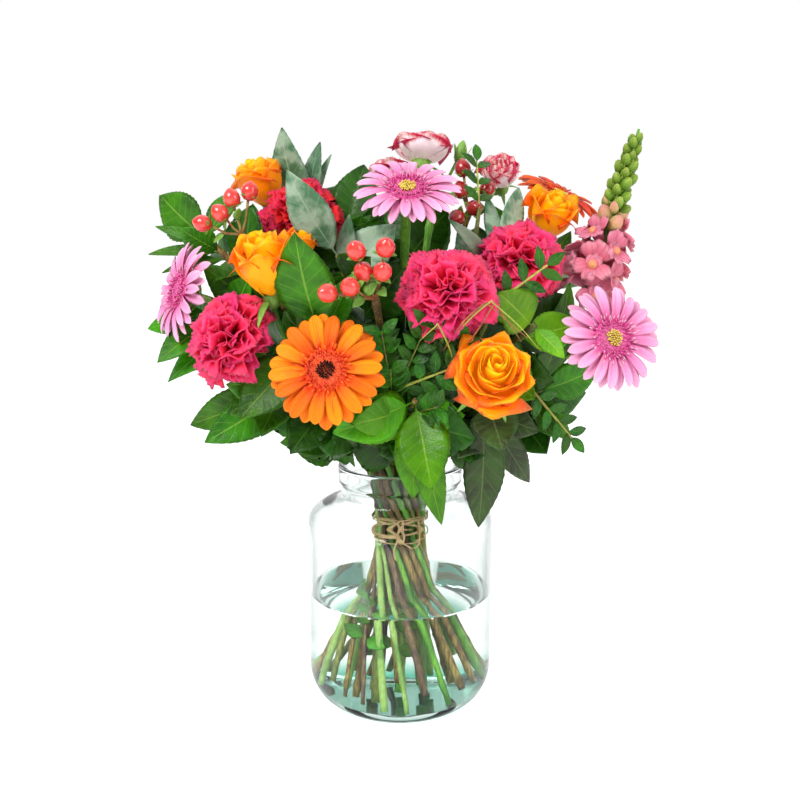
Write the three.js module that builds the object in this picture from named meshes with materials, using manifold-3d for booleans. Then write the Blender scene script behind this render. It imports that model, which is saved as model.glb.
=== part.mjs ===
// A hand-tied mixed bouquet (gerberas, roses, carnations, spray roses, snapdragon,
// berries and leaf sprigs) standing in a wide-mouthed glass jar of water.
// Millimetres, +Z up, origin at the middle of the jar's underside, front towards -Y.
import * as THREE from "three";
import { mergeVertices } from "three/addons/utils/BufferGeometryUtils.js";
import Module from "manifold-3d";

const wasm = await Module();
wasm.setup();

// ---- Driving sizes -------------------------------------------------------
const JAR_HEIGHT = 200;
const JAR_RADIUS = 75;
const JAR_WALL = 3.2;
const JAR_FLOOR = 9;
const FOOT_ROUND = 30;
const RIM_RADIUS = 50;
const RIM_BAND = 15;
const NECK_HEIGHT = 28;
const SHOULDER_DROP = 13;
const WATER_DEPTH = 86;
const TIE_HEIGHT = 150;
const TIE_PITCH = 5.6;
const TWINE_THICKNESS = 2.6;
const STEM_TWIST = -0.02; // sideways run of a stem per mm of height and per mm off the middle
const STEM_GAP = 0.3; // clearance between neighbouring pieces
const GERBERA_STEM = 2.6;
const ROSE_STEM = 2.5;
const CARNATION_STEM = 2.1;
const TWIG = 1.9;
const GERBERA_RADIUS = 36;
const ROSE_RADIUS = 26;
const CARNATION_RADIUS = 33;
const SPRAY_RADIUS = 21;
const BERRY_RADIUS = 6;
const LEAF_THICKNESS = 1.3;

// ---- Small helpers -------------------------------------------------------
const v = (x, y, z) => new THREE.Vector3(x, y, z);
const at = (list) => new THREE.Vector3(...list);

function bare(geometry) {
  const shape = geometry.clone();
  shape.deleteAttribute("normal");
  shape.deleteAttribute("uv");
  return mergeVertices(shape, 1e-3);
}

function solidOf(geometry, matrix = new THREE.Matrix4()) {
  const shape = bare(geometry).applyMatrix4(matrix);
  return new wasm.Manifold(
    new wasm.Mesh({
      numProp: 3,
      vertProperties: shape.attributes.position.array,
      triVerts: new Uint32Array(shape.index.array),
    }),
  );
}

function geometryOf(solid) {
  const mesh = solid.getMesh();
  const geometry = new THREE.BufferGeometry();
  geometry.setAttribute("position", new THREE.BufferAttribute(mesh.vertProperties, 3));
  geometry.setIndex(new THREE.BufferAttribute(mesh.triVerts, 1));
  return geometry;
}

function joined(solids) {
  return solids.reduce((whole, next) => whole.add(next));
}

function biggest(solid) {
  return solid.decompose().reduce((best, next) => (next.volume() > best.volume() ? next : best));
}

// A turned shape about +Z from [radius, height] points given from the bottom up;
// swell(angle, share) scales the radius, lift(angle, share) moves it along the axis.
function turned(points, around, swell = () => 1, lift = () => 0) {
  const profile = points.map(([r, z]) => new THREE.Vector2(r, z));
  const geometry = new THREE.LatheGeometry(profile, around);
  geometry.rotateX(Math.PI / 2);
  const position = geometry.attributes.position;
  const rows = points.length;
  for (let i = 0; i < position.count; i += 1) {
    const column = Math.floor(i / rows) % around;
    const share = (i % rows) / (rows - 1);
    const angle = (column / around) * 2 * Math.PI;
    const radius = points[i % rows][0] * swell(angle, share, column);
    position.setXYZ(
      i,
      radius * Math.cos(angle),
      radius * Math.sin(angle),
      points[i % rows][1] + lift(angle, share, column) * Math.min(1, radius),
    );
  }
  const shape = mergeVertices(bare(geometry), 1e-3);
  if (solidOf(shape).volume() < 0) {
    const index = shape.index;
    for (let i = 0; i < index.count; i += 3) {
      const first = index.getX(i);
      index.setX(i, index.getX(i + 1));
      index.setX(i + 1, first);
    }
  }
  return shape;
}

// The turn and move that put a shape made along +Z at a point, facing a direction.
function seat(point, facing) {
  const turn = new THREE.Quaternion().setFromUnitVectors(v(0, 0, 1), facing.clone().normalize());
  return new THREE.Matrix4().compose(point, turn, v(1, 1, 1));
}

function rod(from, to, radius, sides = 5) {
  const line = new THREE.LineCurve3(from, to);
  return tube(line, radius, sides, 1);
}

function tube(curve, radius, sides, steps) {
  const ring = [];
  for (let i = 0; i < sides; i += 1) {
    const angle = (i / sides) * 2 * Math.PI;
    ring.push(new THREE.Vector2(radius * Math.cos(angle), radius * Math.sin(angle)));
  }
  const section = new THREE.Shape(ring);
  return new THREE.ExtrudeGeometry(section, { extrudePath: curve, steps, bevelEnabled: false });
}

function ball(centre, radius, stretch, facing, around = 6, rows = 4) {
  const geometry = new THREE.SphereGeometry(radius, around, rows);
  geometry.rotateX(Math.PI / 2);
  geometry.scale(1, 1, stretch);
  return solidOf(geometry, seat(centre, facing));
}

// ---- What is already standing, so that the next piece finds a free place --
const standing = [];

function boxesMeet(a, b) {
  return [0, 1, 2].every((k) => a.min[k] <= b.max[k] && b.min[k] <= a.max[k]);
}

function inTheWay(skin, others = standing) {
  const box = skin.boundingBox();
  let shared = 0;
  for (const other of others) {
    if (boxesMeet(box, other.skin.boundingBox())) {
      shared += skin.intersect(other.skin).volume();
    }
  }
  return shared;
}

function cutClear(solid) {
  const box = solid.boundingBox();
  let left = solid;
  for (const other of standing) {
    if (boxesMeet(box, other.skin.boundingBox()) && left.intersect(other.skin).volume() > 0) {
      left = left.subtract(other.skin);
    }
  }
  return biggest(left);
}

// ---- Looks ---------------------------------------------------------------
const look = (color, roughness, metalness = 0, extra = {}) => ({
  color,
  roughness,
  metalness,
  ...extra,
});
const GLASS = look(0xd5e6e2, 0.04, 0, { transparent: true, opacity: 0.35 });
const WATER = look(0xcfe0dc, 0.03, 0, { transparent: true, opacity: 0.45 });
const TWINE = look(0xa98a5e, 0.95);
const GREEN_STEM = look(0x6f9a35, 0.55);
const BROWN_STEM = look(0x7d6a3c, 0.7);
const LEAF = look(0x3f7a22, 0.45);
const DARK_LEAF = look(0x2c5a24, 0.5);
const GREY_LEAF = look(0x7f9a83, 0.6);
const SMALL_LEAF = look(0x2f6b2c, 0.5);
const GRASS = look(0xa8a83c, 0.6);
const ORANGE_PETAL = look(0xff8a0a, 0.5);
const PINK_PETAL = look(0xf3a3c9, 0.5);
const RUST_PETAL = look(0xd9481a, 0.5);
const ROSE_PETAL = look(0xfba018, 0.45);
const CARNATION_PETAL = look(0xe2274f, 0.6);
const SPRAY_PETAL = look(0xf0cdd0, 0.5);
const SNAP_PETAL = look(0xd9798f, 0.55);
const BERRY = look(0xd8433a, 0.2);

const bouquet = new THREE.Group();

function add(name, geometry, finish, point, facing) {
  const mesh = new THREE.Mesh(geometry, new THREE.MeshStandardMaterial(finish));
  mesh.name = name;
  if (point) {
    mesh.position.copy(point);
    mesh.quaternion.setFromUnitVectors(v(0, 0, 1), facing.clone().normalize());
  }
  bouquet.add(mesh);
  return mesh;
}

// ---- Jar: one blown piece with a thick base, sloped shoulder and rolled rim -
const NECK_BOTTOM = JAR_HEIGHT - NECK_HEIGHT;
const SHOULDER_BOTTOM = NECK_BOTTOM - SHOULDER_DROP;
const NECK_RADIUS = RIM_RADIUS - 2.5;
const INNER_ROUND = FOOT_ROUND - 6;
const JAR_SIDES = 32;

function footArc(radius, round, bottom, steps) {
  const points = [];
  for (let i = 0; i <= steps; i += 1) {
    const angle = (i / steps) * (Math.PI / 2);
    const across = radius - round + round * Math.sin(angle);
    points.push([across, bottom + round * (1 - Math.cos(angle))]);
  }
  return points;
}

function jar() {
  const outside = [
    [0, 0],
    ...footArc(JAR_RADIUS, FOOT_ROUND, 0, 4),
    [JAR_RADIUS, SHOULDER_BOTTOM - 8],
    [JAR_RADIUS - 3, SHOULDER_BOTTOM + 1],
    [JAR_RADIUS - 11, SHOULDER_BOTTOM + 7],
    [NECK_RADIUS + 5, NECK_BOTTOM - 2],
    [NECK_RADIUS, NECK_BOTTOM + 3],
    [NECK_RADIUS, JAR_HEIGHT - RIM_BAND - 1.5],
    [RIM_RADIUS, JAR_HEIGHT - RIM_BAND + 1.5],
    [RIM_RADIUS, JAR_HEIGHT - 2],
    [RIM_RADIUS - 1.5, JAR_HEIGHT],
  ];
  const inside = [
    [NECK_RADIUS - 1, JAR_HEIGHT],
    [NECK_RADIUS - JAR_WALL + 0.5, JAR_HEIGHT - 2],
    [NECK_RADIUS - JAR_WALL, NECK_BOTTOM + 1.5],
    [NECK_RADIUS + 3, NECK_BOTTOM - 4],
    [JAR_RADIUS - 13, SHOULDER_BOTTOM + 3],
    [JAR_RADIUS - JAR_WALL - 2, SHOULDER_BOTTOM - 3],
    [JAR_RADIUS - JAR_WALL, SHOULDER_BOTTOM - 10],
    ...footArc(JAR_RADIUS - JAR_WALL, INNER_ROUND, JAR_FLOOR, 4).reverse(),
    [0, JAR_FLOOR],
  ];
  return turned([...outside, ...inside], JAR_SIDES);
}

function insideRadius(z) {
  const wall = JAR_RADIUS - JAR_WALL;
  const up = JAR_FLOOR + INNER_ROUND - z;
  if (up <= 0) return wall;
  const reach = Math.max(0, INNER_ROUND * INNER_ROUND - up * up);
  return (wall - INNER_ROUND + Math.sqrt(reach)) * Math.cos(Math.PI / JAR_SIDES);
}

const jarShape = jar();
add("glass_jar", jarShape, GLASS);
standing.push({ name: "glass_jar", skin: solidOf(jarShape) });

// ---- Bloom shapes, made with the face towards +Z and the base at the origin -
// Gerbera: a ring of ray petals round a flat disc with a sunken eye.
const GERBERA_PETALS = 13;
const GERBERA_DEPTH = 12;

function gerberaBloom(radius) {
  const points = [
    [0, 0],
    [radius * 0.3, 1],
    [radius * 0.97, GERBERA_DEPTH - 4],
    [radius, GERBERA_DEPTH - 2.4],
    [radius * 0.45, GERBERA_DEPTH - 1],
    [radius * 0.4, GERBERA_DEPTH + 1.5],
    [0, GERBERA_DEPTH - 1],
  ];
  const petals = (angle, share, column) => (share > 0.3 && share < 0.6 && column % 2 ? 0.86 : 1);
  const wave = (angle, share, column) => (share > 0.3 && share < 0.6 && column % 4 === 0 ? -1 : 0);
  return turned(points, GERBERA_PETALS * 2, petals, wave);
}

// Rose: a cupped bloom with turned-out lobes and a rolled heart.
function roseBloom(radius, tall = 1.75) {
  const height = radius * tall;
  const points = [
    [0, 0],
    [radius * 0.42, height * 0.05],
    [radius * 0.8, height * 0.35],
    [radius * 0.95, height * 0.72],
    [radius, height * 0.84],
    [radius * 0.78, height * 0.9],
    [radius * 0.5, height],
    [radius * 0.25, height * 0.99],
    [0, height * 0.93],
  ];
  const lobes = (angle, share) => 1 + (share > 0.3 && share < 0.6 ? 0.07 * Math.cos(5 * angle) : 0);
  return turned(points, 13, lobes);
}

// Carnation: a ruffled dome on a narrow waist.
function carnationBloom(radius) {
  const points = [
    [0, 0],
    [radius * 0.2, 1],
    [radius * 0.62, radius * 0.3],
    [radius, radius * 0.62],
    [radius * 0.96, radius * 0.86],
    [radius * 0.68, radius * 1.17],
    [radius * 0.33, radius * 1.29],
    [0, radius * 1.25],
  ];
  const ruffle = (angle, share) =>
    1 + (share > 0.3 ? 0.05 * Math.cos(8 * angle + share * 9) : 0);
  return turned(points, 15, ruffle);
}

// ---- Flowers: where each bloom's heart is, and which way it faces -----------
const FLOWERS = [
  { name: "orange_gerbera", kind: "gerbera", heart: [-47, -150, 299], facing: [-0.06, -0.93, 0.32] },
  { name: "top_pink_gerbera", kind: "gerbera", heart: [5, -80, 413], facing: [0.03, -0.56, 0.83] },
  { name: "left_pink_gerbera", kind: "gerbera", heart: [-161, -46, 341], facing: [-0.8, -0.5, 0.3] },
  { name: "right_pink_gerbera", kind: "gerbera", heart: [145, -100, 313], facing: [0.3, -0.87, 0.35] },
  { name: "rust_gerbera", kind: "gerbera", heart: [133, 68, 412], facing: [0.4, -0.25, 0.88] },
  { name: "left_rose", kind: "rose", heart: [-90, -115, 367], facing: [-0.14, -0.3, 0.94] },
  { name: "upper_rose", kind: "rose", heart: [-110, 15, 424], facing: [-0.3, -0.2, 0.93], size: 0.88 },
  { name: "front_rose", kind: "rose", heart: [60, -150, 300], facing: [0.03, -0.86, 0.5], size: 0.98 },
  { name: "right_rose", kind: "rose", heart: [114, -12, 398], facing: [0.25, -0.45, 0.85], size: 0.85 },
  { name: "small_rose", kind: "rose", heart: [-69, -66, 379], facing: [0.2, -0.3, 0.93], size: 0.5 },
  { name: "left_carnation", kind: "carnation", heart: [-121, -114, 319], facing: [-0.6, -0.6, 0.52] },
  { name: "upper_carnation", kind: "carnation", heart: [-73, -22, 404], facing: [0.02, -0.52, 0.85], size: 0.95 },
  { name: "centre_carnation", kind: "carnation", heart: [31, -130, 355], facing: [0.02, -0.68, 0.73] },
  { name: "right_carnation", kind: "carnation", heart: [88, -68, 372], facing: [0.2, -0.58, 0.78] },
];
const SPRAY = [
  { name: "top_spray_rose", heart: [17, 5, 448], facing: [0.05, 0.25, 0.96], size: 1.22, tall: 0.95 },
  { name: "left_spray_rose", heart: [-12, 42, 430], facing: [-0.35, 0.15, 0.92], size: 0.95, tall: 1.3 },
  { name: "right_spray_rose", heart: [78, 15, 430], facing: [-0.12, -0.6, 0.78], size: 0.9, tall: 1.4 },
];

const KINDS = {
  gerbera: { radius: GERBERA_RADIUS, stem: GERBERA_STEM, middle: GERBERA_DEPTH * 0.6 },
  rose: { radius: ROSE_RADIUS, stem: ROSE_STEM, middle: 0 },
  carnation: { radius: CARNATION_RADIUS, stem: CARNATION_STEM, middle: 0 },
};

const PETALS = {
  orange_gerbera: ORANGE_PETAL,
  top_pink_gerbera: PINK_PETAL,
  left_pink_gerbera: PINK_PETAL,
  right_pink_gerbera: PINK_PETAL,
  rust_gerbera: RUST_PETAL,
};

function bloomOf(flower) {
  const size = flower.size ?? 1;
  if (flower.kind === "gerbera") {
    return { shape: gerberaBloom(GERBERA_RADIUS * size), middle: GERBERA_DEPTH * 0.6 };
  }
  if (flower.kind === "rose") {
    const radius = ROSE_RADIUS * size;
    return { shape: roseBloom(radius), middle: radius * 0.95 };
  }
  if (flower.kind === "spray") {
    const radius = SPRAY_RADIUS * size;
    return { shape: roseBloom(radius, flower.tall), middle: radius * flower.tall * 0.55 };
  }
  const radius = CARNATION_RADIUS * size;
  return { shape: carnationBloom(radius), middle: radius * 0.62 };
}

// The blooms go in first. Each one is pushed outward until it clears the ones before it.
function placeBloom(flower) {
  const facing = at(flower.facing).normalize();
  const { shape, middle } = bloomOf(flower);
  const heart = at(flower.heart);
  const base = heart.clone().addScaledVector(facing, -middle);
  const matrix = seat(base, facing);
  const grown = shape.clone().scale(1.015, 1.015, 1.015);
  flower.base = base;
  flower.axis = facing;
  const finish = PETALS[flower.name] ??
    (flower.kind === "rose" ? ROSE_PETAL : flower.kind === "spray" ? SPRAY_PETAL : CARNATION_PETAL);
  add(flower.name, shape, finish, base, facing);
  standing.push({ name: flower.name, skin: solidOf(grown, matrix) });
}

for (const flower of SPRAY) flower.kind = "spray";
for (const flower of [...FLOWERS, ...SPRAY]) placeBloom(flower);

// ---- Leaf sprigs: the twig's end, and leaves given as [share of the twig, tip, width] -
const SPRIGS = [
  {
    name: "top_left_leaf_sprig", end: [-76, 34, 392], finish: GREY_LEAF,
    leaves: [
      [1, [-105, 26, 458], 30], [0.97, [-66, 24, 452], 19], [1, [-56, 34, 444], 10],
      [0.9, [-112, 66, 420], 28], [0.88, [-54, 82, 422], 28], [0.8, [-100, 92, 385], 26],
    ],
  },
  {
    name: "top_leaf_sprig", end: [-40, -14, 384], finish: LEAF,
    leaves: [
      [1, [-34, 0, 438], 31], [0.94, [-27, -42, 396], 20], [0.9, [-22, 10, 415], 22],
    ],
  },
  {
    name: "far_left_leaf_sprig", end: [-148, -12, 380], finish: LEAF,
    leaves: [
      [1, [-184, 2, 411], 36], [0.94, [-164, -26, 386], 22], [0.98, [-187, -10, 388], 9],
      [0.93, [-186, -20, 365], 10], [0.9, [-184, -22, 356], 10], [0.9, [-150, 40, 372], 30],
      [1, [-126, 2, 415], 24],
    ],
  },
  {
    name: "left_leaf_sprig", end: [-140, -34, 326], finish: LEAF,
    leaves: [
      [1, [-196, -24, 311], 20], [0.96, [-176, -64, 291], 24], [0.88, [-171, -56, 276], 22],
      [0.94, [-172, 20, 318], 28], [0.86, [-150, 36, 288], 28],
    ],
  },
  {
    name: "low_left_leaf_sprig", end: [-88, -88, 282], finish: LEAF,
    leaves: [
      [1, [-113, -120, 284], 32], [0.95, [-118, -106, 262], 26], [0.88, [-155, -62, 244], 28],
      [0.84, [-138, -92, 238], 29],
    ],
  },
  {
    name: "front_left_leaf_sprig", end: [-54, -112, 318], finish: LEAF,
    leaves: [
      [1, [-72, -134, 382], 38], [0.96, [-31, -112, 358], 18], [0.92, [-66, -132, 330], 16],
    ],
  },
  {
    name: "grey_leaf_sprig", end: [-44, -62, 368], finish: GREY_LEAF,
    leaves: [[1, [-84, -66, 411], 27], [0.9, [-36, -66, 396], 14]],
  },
  {
    name: "rim_left_leaf_sprig", end: [-58, -84, 262], finish: DARK_LEAF,
    leaves: [[1, [-38, -98, 224], 22], [0.94, [-62, -108, 236], 20], [0.8, [-40, -84, 212], 10]],
  },
  {
    name: "front_leaf_sprig", end: [10, -122, 274], finish: LEAF,
    leaves: [
      [1, [-44, -138, 255], 30], [1, [21, -146, 219], 33], [0.9, [9, -114, 203], 24],
      [0.92, [29, -118, 184], 20],
    ],
  },
  {
    name: "front_right_leaf_sprig", end: [60, -106, 270], finish: DARK_LEAF,
    leaves: [[1, [68, -132, 242], 30], [0.96, [56, -98, 177], 27], [0.9, [97, -70, 200], 20]],
  },
  {
    name: "low_right_leaf_sprig", end: [104, -52, 268], finish: LEAF,
    leaves: [
      [1, [148, -44, 284], 27], [0.92, [129, -52, 229], 16], [0.97, [126, -56, 343], 28],
      [0.86, [140, 6, 250], 28],
    ],
  },
  {
    name: "right_leaf_sprig", end: [92, -98, 322], finish: LEAF,
    leaves: [[1, [64, -118, 346], 30], [1, [110, -116, 302], 14]],
  },
  {
    name: "narrow_leaf_sprig", end: [70, -44, 366], finish: GREY_LEAF,
    leaves: [[0.96, [41, -92, 398], 11], [0.94, [124, -72, 347], 9], [1, [101, 10, 418], 18],
      [1, [68, -6, 412], 14]],
  },
  {
    name: "back_left_leaf_sprig", end: [-112, 70, 350], finish: LEAF,
    leaves: [
      [1, [-128, 88, 404], 30], [0.95, [-160, 88, 350], 30], [0.9, [-120, 124, 330], 30],
      [0.84, [-140, 70, 296], 28], [0.8, [-84, 118, 290], 28], [0.72, [-112, 84, 250], 28],
    ],
  },
  {
    name: "back_leaf_sprig", end: [2, 96, 366], finish: LEAF,
    leaves: [
      [1, [8, 106, 426], 30], [0.95, [-44, 124, 380], 30], [0.92, [40, 140, 356], 30],
      [0.86, [-22, 146, 320], 30], [0.8, [44, 132, 282], 28], [0.74, [-28, 124, 258], 28],
      [0.68, [14, 118, 232], 26],
    ],
  },
  {
    name: "back_right_leaf_sprig", end: [112, 76, 346], finish: LEAF,
    leaves: [
      [1, [150, 104, 380], 28], [0.95, [166, 70, 338], 30], [0.9, [106, 128, 336], 30],
      [0.84, [150, 78, 288], 28], [0.78, [86, 122, 282], 28], [0.72, [118, 80, 244], 28],
      [0.98, [76, 84, 398], 26],
    ],
  },
];

// Pinnate sprigs: small leaflets in pairs along the last part of a thin twig.
const PINNATE = [
  { name: "centre_pinnate_sprig", end: [38, -132, 299], from: [-2, -112, 280], pairs: 4, leaflet: 19 },
  { name: "right_pinnate_sprig", end: [97, -118, 364], from: [66, -112, 340], pairs: 3, leaflet: 17 },
  { name: "top_pinnate_sprig", end: [57, -18, 436], from: [58, -34, 400], pairs: 3, leaflet: 17 },
  { name: "low_right_pinnate_sprig", end: [120, -100, 243], from: [92, -98, 276], pairs: 4, leaflet: 17 },
];

// Berry sprigs: the fork of the stalks, then the middle of each berry.
const BERRIES = [
  {
    name: "left_berry_sprig", end: [-112, -60, 382],
    berries: [[-139, -64, 390], [-126, -66, 397], [-118, -64, 407], [-106, -60, 412]],
  },
  {
    name: "centre_berry_sprig", end: [-16, -124, 342],
    berries: [[-27, -152, 374], [-9, -154, 376], [-11, -150, 361], [-23, -146, 361],
      [-31, -154, 352], [-45, -152, 348]],
  },
  {
    name: "back_berry_sprig", end: [52, -14, 398],
    berries: [[47, -14, 430], [46, -14, 414], [66, -8, 415], [42, -30, 394], [55, -28, 401]],
  },
];

const SNAPDRAGON = { name: "snapdragon", base: [139, -28, 333], tip: [176, -20, 458] };
const SPRAY_FORK = [26, 12, 412];

// ---- The tie: every stem gets its own place, in rings round the middle ------
// The steepest stems stand in the middle and the flattest ones outside, each on the
// side that it leans to.
const growers = [];
for (const flower of FLOWERS) {
  growers.push({ kind: "flower", name: flower.name, end: flower.base, axis: flower.axis, flower });
}
growers.push({ kind: "spray", name: "spray_rose", end: at(SPRAY_FORK), axis: v(0.1, 0.1, 1) });
growers.push({
  kind: "snapdragon",
  name: SNAPDRAGON.name,
  end: at(SNAPDRAGON.base),
  axis: at(SNAPDRAGON.tip).sub(at(SNAPDRAGON.base)),
});
for (const berry of BERRIES) {
  growers.push({ kind: "berry", name: berry.name, end: at(berry.end), berry });
}
for (const sprig of SPRIGS) {
  growers.push({ kind: "sprig", name: sprig.name, end: at(sprig.end), sprig });
}
for (const sprig of PINNATE) {
  growers.push({ kind: "pinnate", name: sprig.name, end: at(sprig.from), sprig });
}

const FAN_FOOT = 190;
const SPIRAL_LEAD = 0.9; // how far round, in radians, a stem starts from where it ends
const RINGS = [1, 6, 12, 20];
const RING_RADII = [0, TIE_PITCH, TIE_PITCH * 2.02, TIE_PITCH * 3.2];

for (const one of growers) {
  one.lean = Math.atan2(Math.hypot(one.end.x, one.end.y), one.end.z - FAN_FOOT);
  one.side = Math.atan2(one.end.y, one.end.x) + SPIRAL_LEAD;
}
const steepFirst = [...growers].sort((a, b) => a.lean - b.lean);
let taken = 0;
RINGS.forEach((count, ring) => {
  const here = steepFirst.slice(taken, taken + count);
  taken += count;
  const turn = (angle) => Math.atan2(Math.sin(angle), Math.cos(angle));
  here.sort((a, b) => turn(a.side) - turn(b.side));
  const step = (2 * Math.PI) / Math.max(1, here.length);
  let sine = 0;
  let cosine = 0;
  here.forEach((one, k) => {
    sine += Math.sin(one.side - k * step);
    cosine += Math.cos(one.side - k * step);
  });
  const start = Math.atan2(sine, cosine);
  here.forEach((one, k) => {
    const angle = start + k * step;
    one.place = new THREE.Vector2(Math.cos(angle), Math.sin(angle)).multiplyScalar(RING_RADII[ring]);
  });
});

// A stem below and just above the tie runs straight, turned about the middle.
function spiralPoint(place, z) {
  const rise = (z - TIE_HEIGHT) * STEM_TWIST;
  return v(place.x - rise * place.y, place.y + rise * place.x, z);
}

// A route in two parts: the straight foot, then a curve to the end of the stem.
class StemRoute extends THREE.Curve {
  constructor(foot, waist, low, high, end) {
    super();
    this.foot = foot;
    this.waist = waist;
    this.curve = new THREE.CubicBezierCurve3(waist, low, high, end);
  }

  getPoint(t, target = new THREE.Vector3()) {
    const split = 1 / STEM_STEPS;
    if (t <= split) return target.lerpVectors(this.foot, this.waist, t / split);
    return this.curve.getPoint((t - split) / (1 - split), target);
  }

  getUtoTmapping(u) {
    return u;
  }
}

const STEM_STEPS = 6;
const STRAIGHT_TOP = 184;
const CUT_HEIGHTS = [12, 17, 11, 24, 14, 20, 13, 30, 16];
const BENDS = [
  [0.42, 0.3, 0], [0.34, 0.26, 0], [0.5, 0.22, 0], [0.42, 0.3, 9], [0.42, 0.3, -9],
  [0.34, 0.3, 16], [0.34, 0.3, -16], [0.5, 0.26, 22], [0.5, 0.26, -22], [0.3, 0.4, 30],
  [0.3, 0.4, -30], [0.55, 0.2, 12], [0.55, 0.2, -12],
];

function footOf(one, radius, order) {
  let z = CUT_HEIGHTS[order % CUT_HEIGHTS.length];
  for (; z < TIE_HEIGHT; z += 1) {
    const point = spiralPoint(one.place, z);
    if (Math.hypot(point.x, point.y) < insideRadius(z - radius) - radius * 1.15 - 0.8) break;
  }
  return spiralPoint(one.place, z);
}

function routeOf(one, bend) {
  const waist = spiralPoint(one.place, STRAIGHT_TOP);
  const rise = waist.clone().sub(spiralPoint(one.place, TIE_HEIGHT)).normalize();
  const span = waist.distanceTo(one.end);
  const axis = one.axis
    ? one.axis.clone().normalize()
    : one.end.clone().sub(v(0, 0, FAN_FOOT + 30)).normalize();
  const side = v(-one.end.y, one.end.x, 0).normalize().multiplyScalar(bend[2]);
  const low = waist.clone().addScaledVector(rise, span * bend[0]).add(side);
  const high = one.end.clone().addScaledVector(axis, -span * bend[1]).add(side);
  return new StemRoute(one.foot, waist, low, high, one.end);
}

function settle(one, radius, extras) {
  const sides = radius > TWIG ? 6 : 5;
  let best = null;
  for (const bend of BENDS) {
    const route = routeOf(one, bend);
    const skin = solidOf(tube(route, radius + STEM_GAP, sides, STEM_STEPS));
    const shared = inTheWay(skin);
    if (!best || shared < best.shared) best = { route, skin, shared };
    if (shared === 0) break;
  }
  one.route = best.route;
  const parts = [solidOf(tube(best.route, radius, sides, STEM_STEPS)), ...extras];
  return { solid: cutClear(joined(parts)), skin: best.skin };
}

// The green cup under each bloom, made along +Z with its top just under the petals.
function cup(kind, size) {
  const outlines = {
    gerbera: [[0, -9], [3, -8.5], [10, -3.5], [11, -0.6], [0, -STEM_GAP]],
    rose: [[0, -11], [3.2, -10], [6 * size, -5], [7 * size, -0.8], [0, -STEM_GAP]],
    carnation: [[0, -24], [3, -23], [6.4, -16], [6.4, -1], [0, -STEM_GAP]],
    spray: [[0, -9], [2.5, -8], [5 * size, -4], [5.4 * size, -0.8], [0, -STEM_GAP]],
  };
  return turned(outlines[kind], 8);
}

const CUP_DEPTH = { gerbera: 7, rose: 9, carnation: 20, spray: 7 };

let order = 0;
const steepness = [...growers].sort((a, b) => a.lean - b.lean);
for (const one of steepness) {
  one.order = order;
  order += 1;
}

// ---- Flower stems with their cups -------------------------------------------
for (const one of growers.filter((g) => g.kind === "flower")) {
  const { kind } = one.flower;
  const radius = KINDS[kind].stem * (one.flower.size < 0.6 ? 0.8 : 1);
  one.foot = footOf(one, radius, one.order);
  const top = one.end.clone();
  one.end = top.clone().addScaledVector(one.axis, -CUP_DEPTH[kind]);
  const green = solidOf(cup(kind, one.flower.size ?? 1), seat(top, one.axis));
  const { solid, skin } = settle(one, radius, [green]);
  add(one.name + "_stem", geometryOf(solid), GREEN_STEM);
  standing.push({ name: one.name + "_stem", skin: skin.add(green) });
}

// ---- Spray rose stem: forks to its three blooms and a closed bud ------------
{
  const one = growers.find((g) => g.kind === "spray");
  one.foot = footOf(one, ROSE_STEM, one.order);
  const fork = one.end;
  const arms = [];
  for (const flower of SPRAY) {
    arms.push(solidOf(cup("spray", flower.size), seat(flower.base, flower.axis)));
    const top = flower.base.clone().addScaledVector(flower.axis, -CUP_DEPTH.spray);
    arms.push(solidOf(rod(fork, top, 1.5)));
  }
  const bud = v(47, 16, 442);
  arms.push(solidOf(rod(fork, bud, 1.2)));
  arms.push(ball(bud, 5, 1.9, v(0.2, 0, 1)));
  const { solid, skin } = settle(one, ROSE_STEM, [ball(fork, 3, 1, v(0, 0, 1)), ...arms]);
  add("spray_rose_stem", geometryOf(solid), GREEN_STEM);
  standing.push({ name: "spray_rose_stem", skin: joined([skin, ...arms]) });
}

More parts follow.
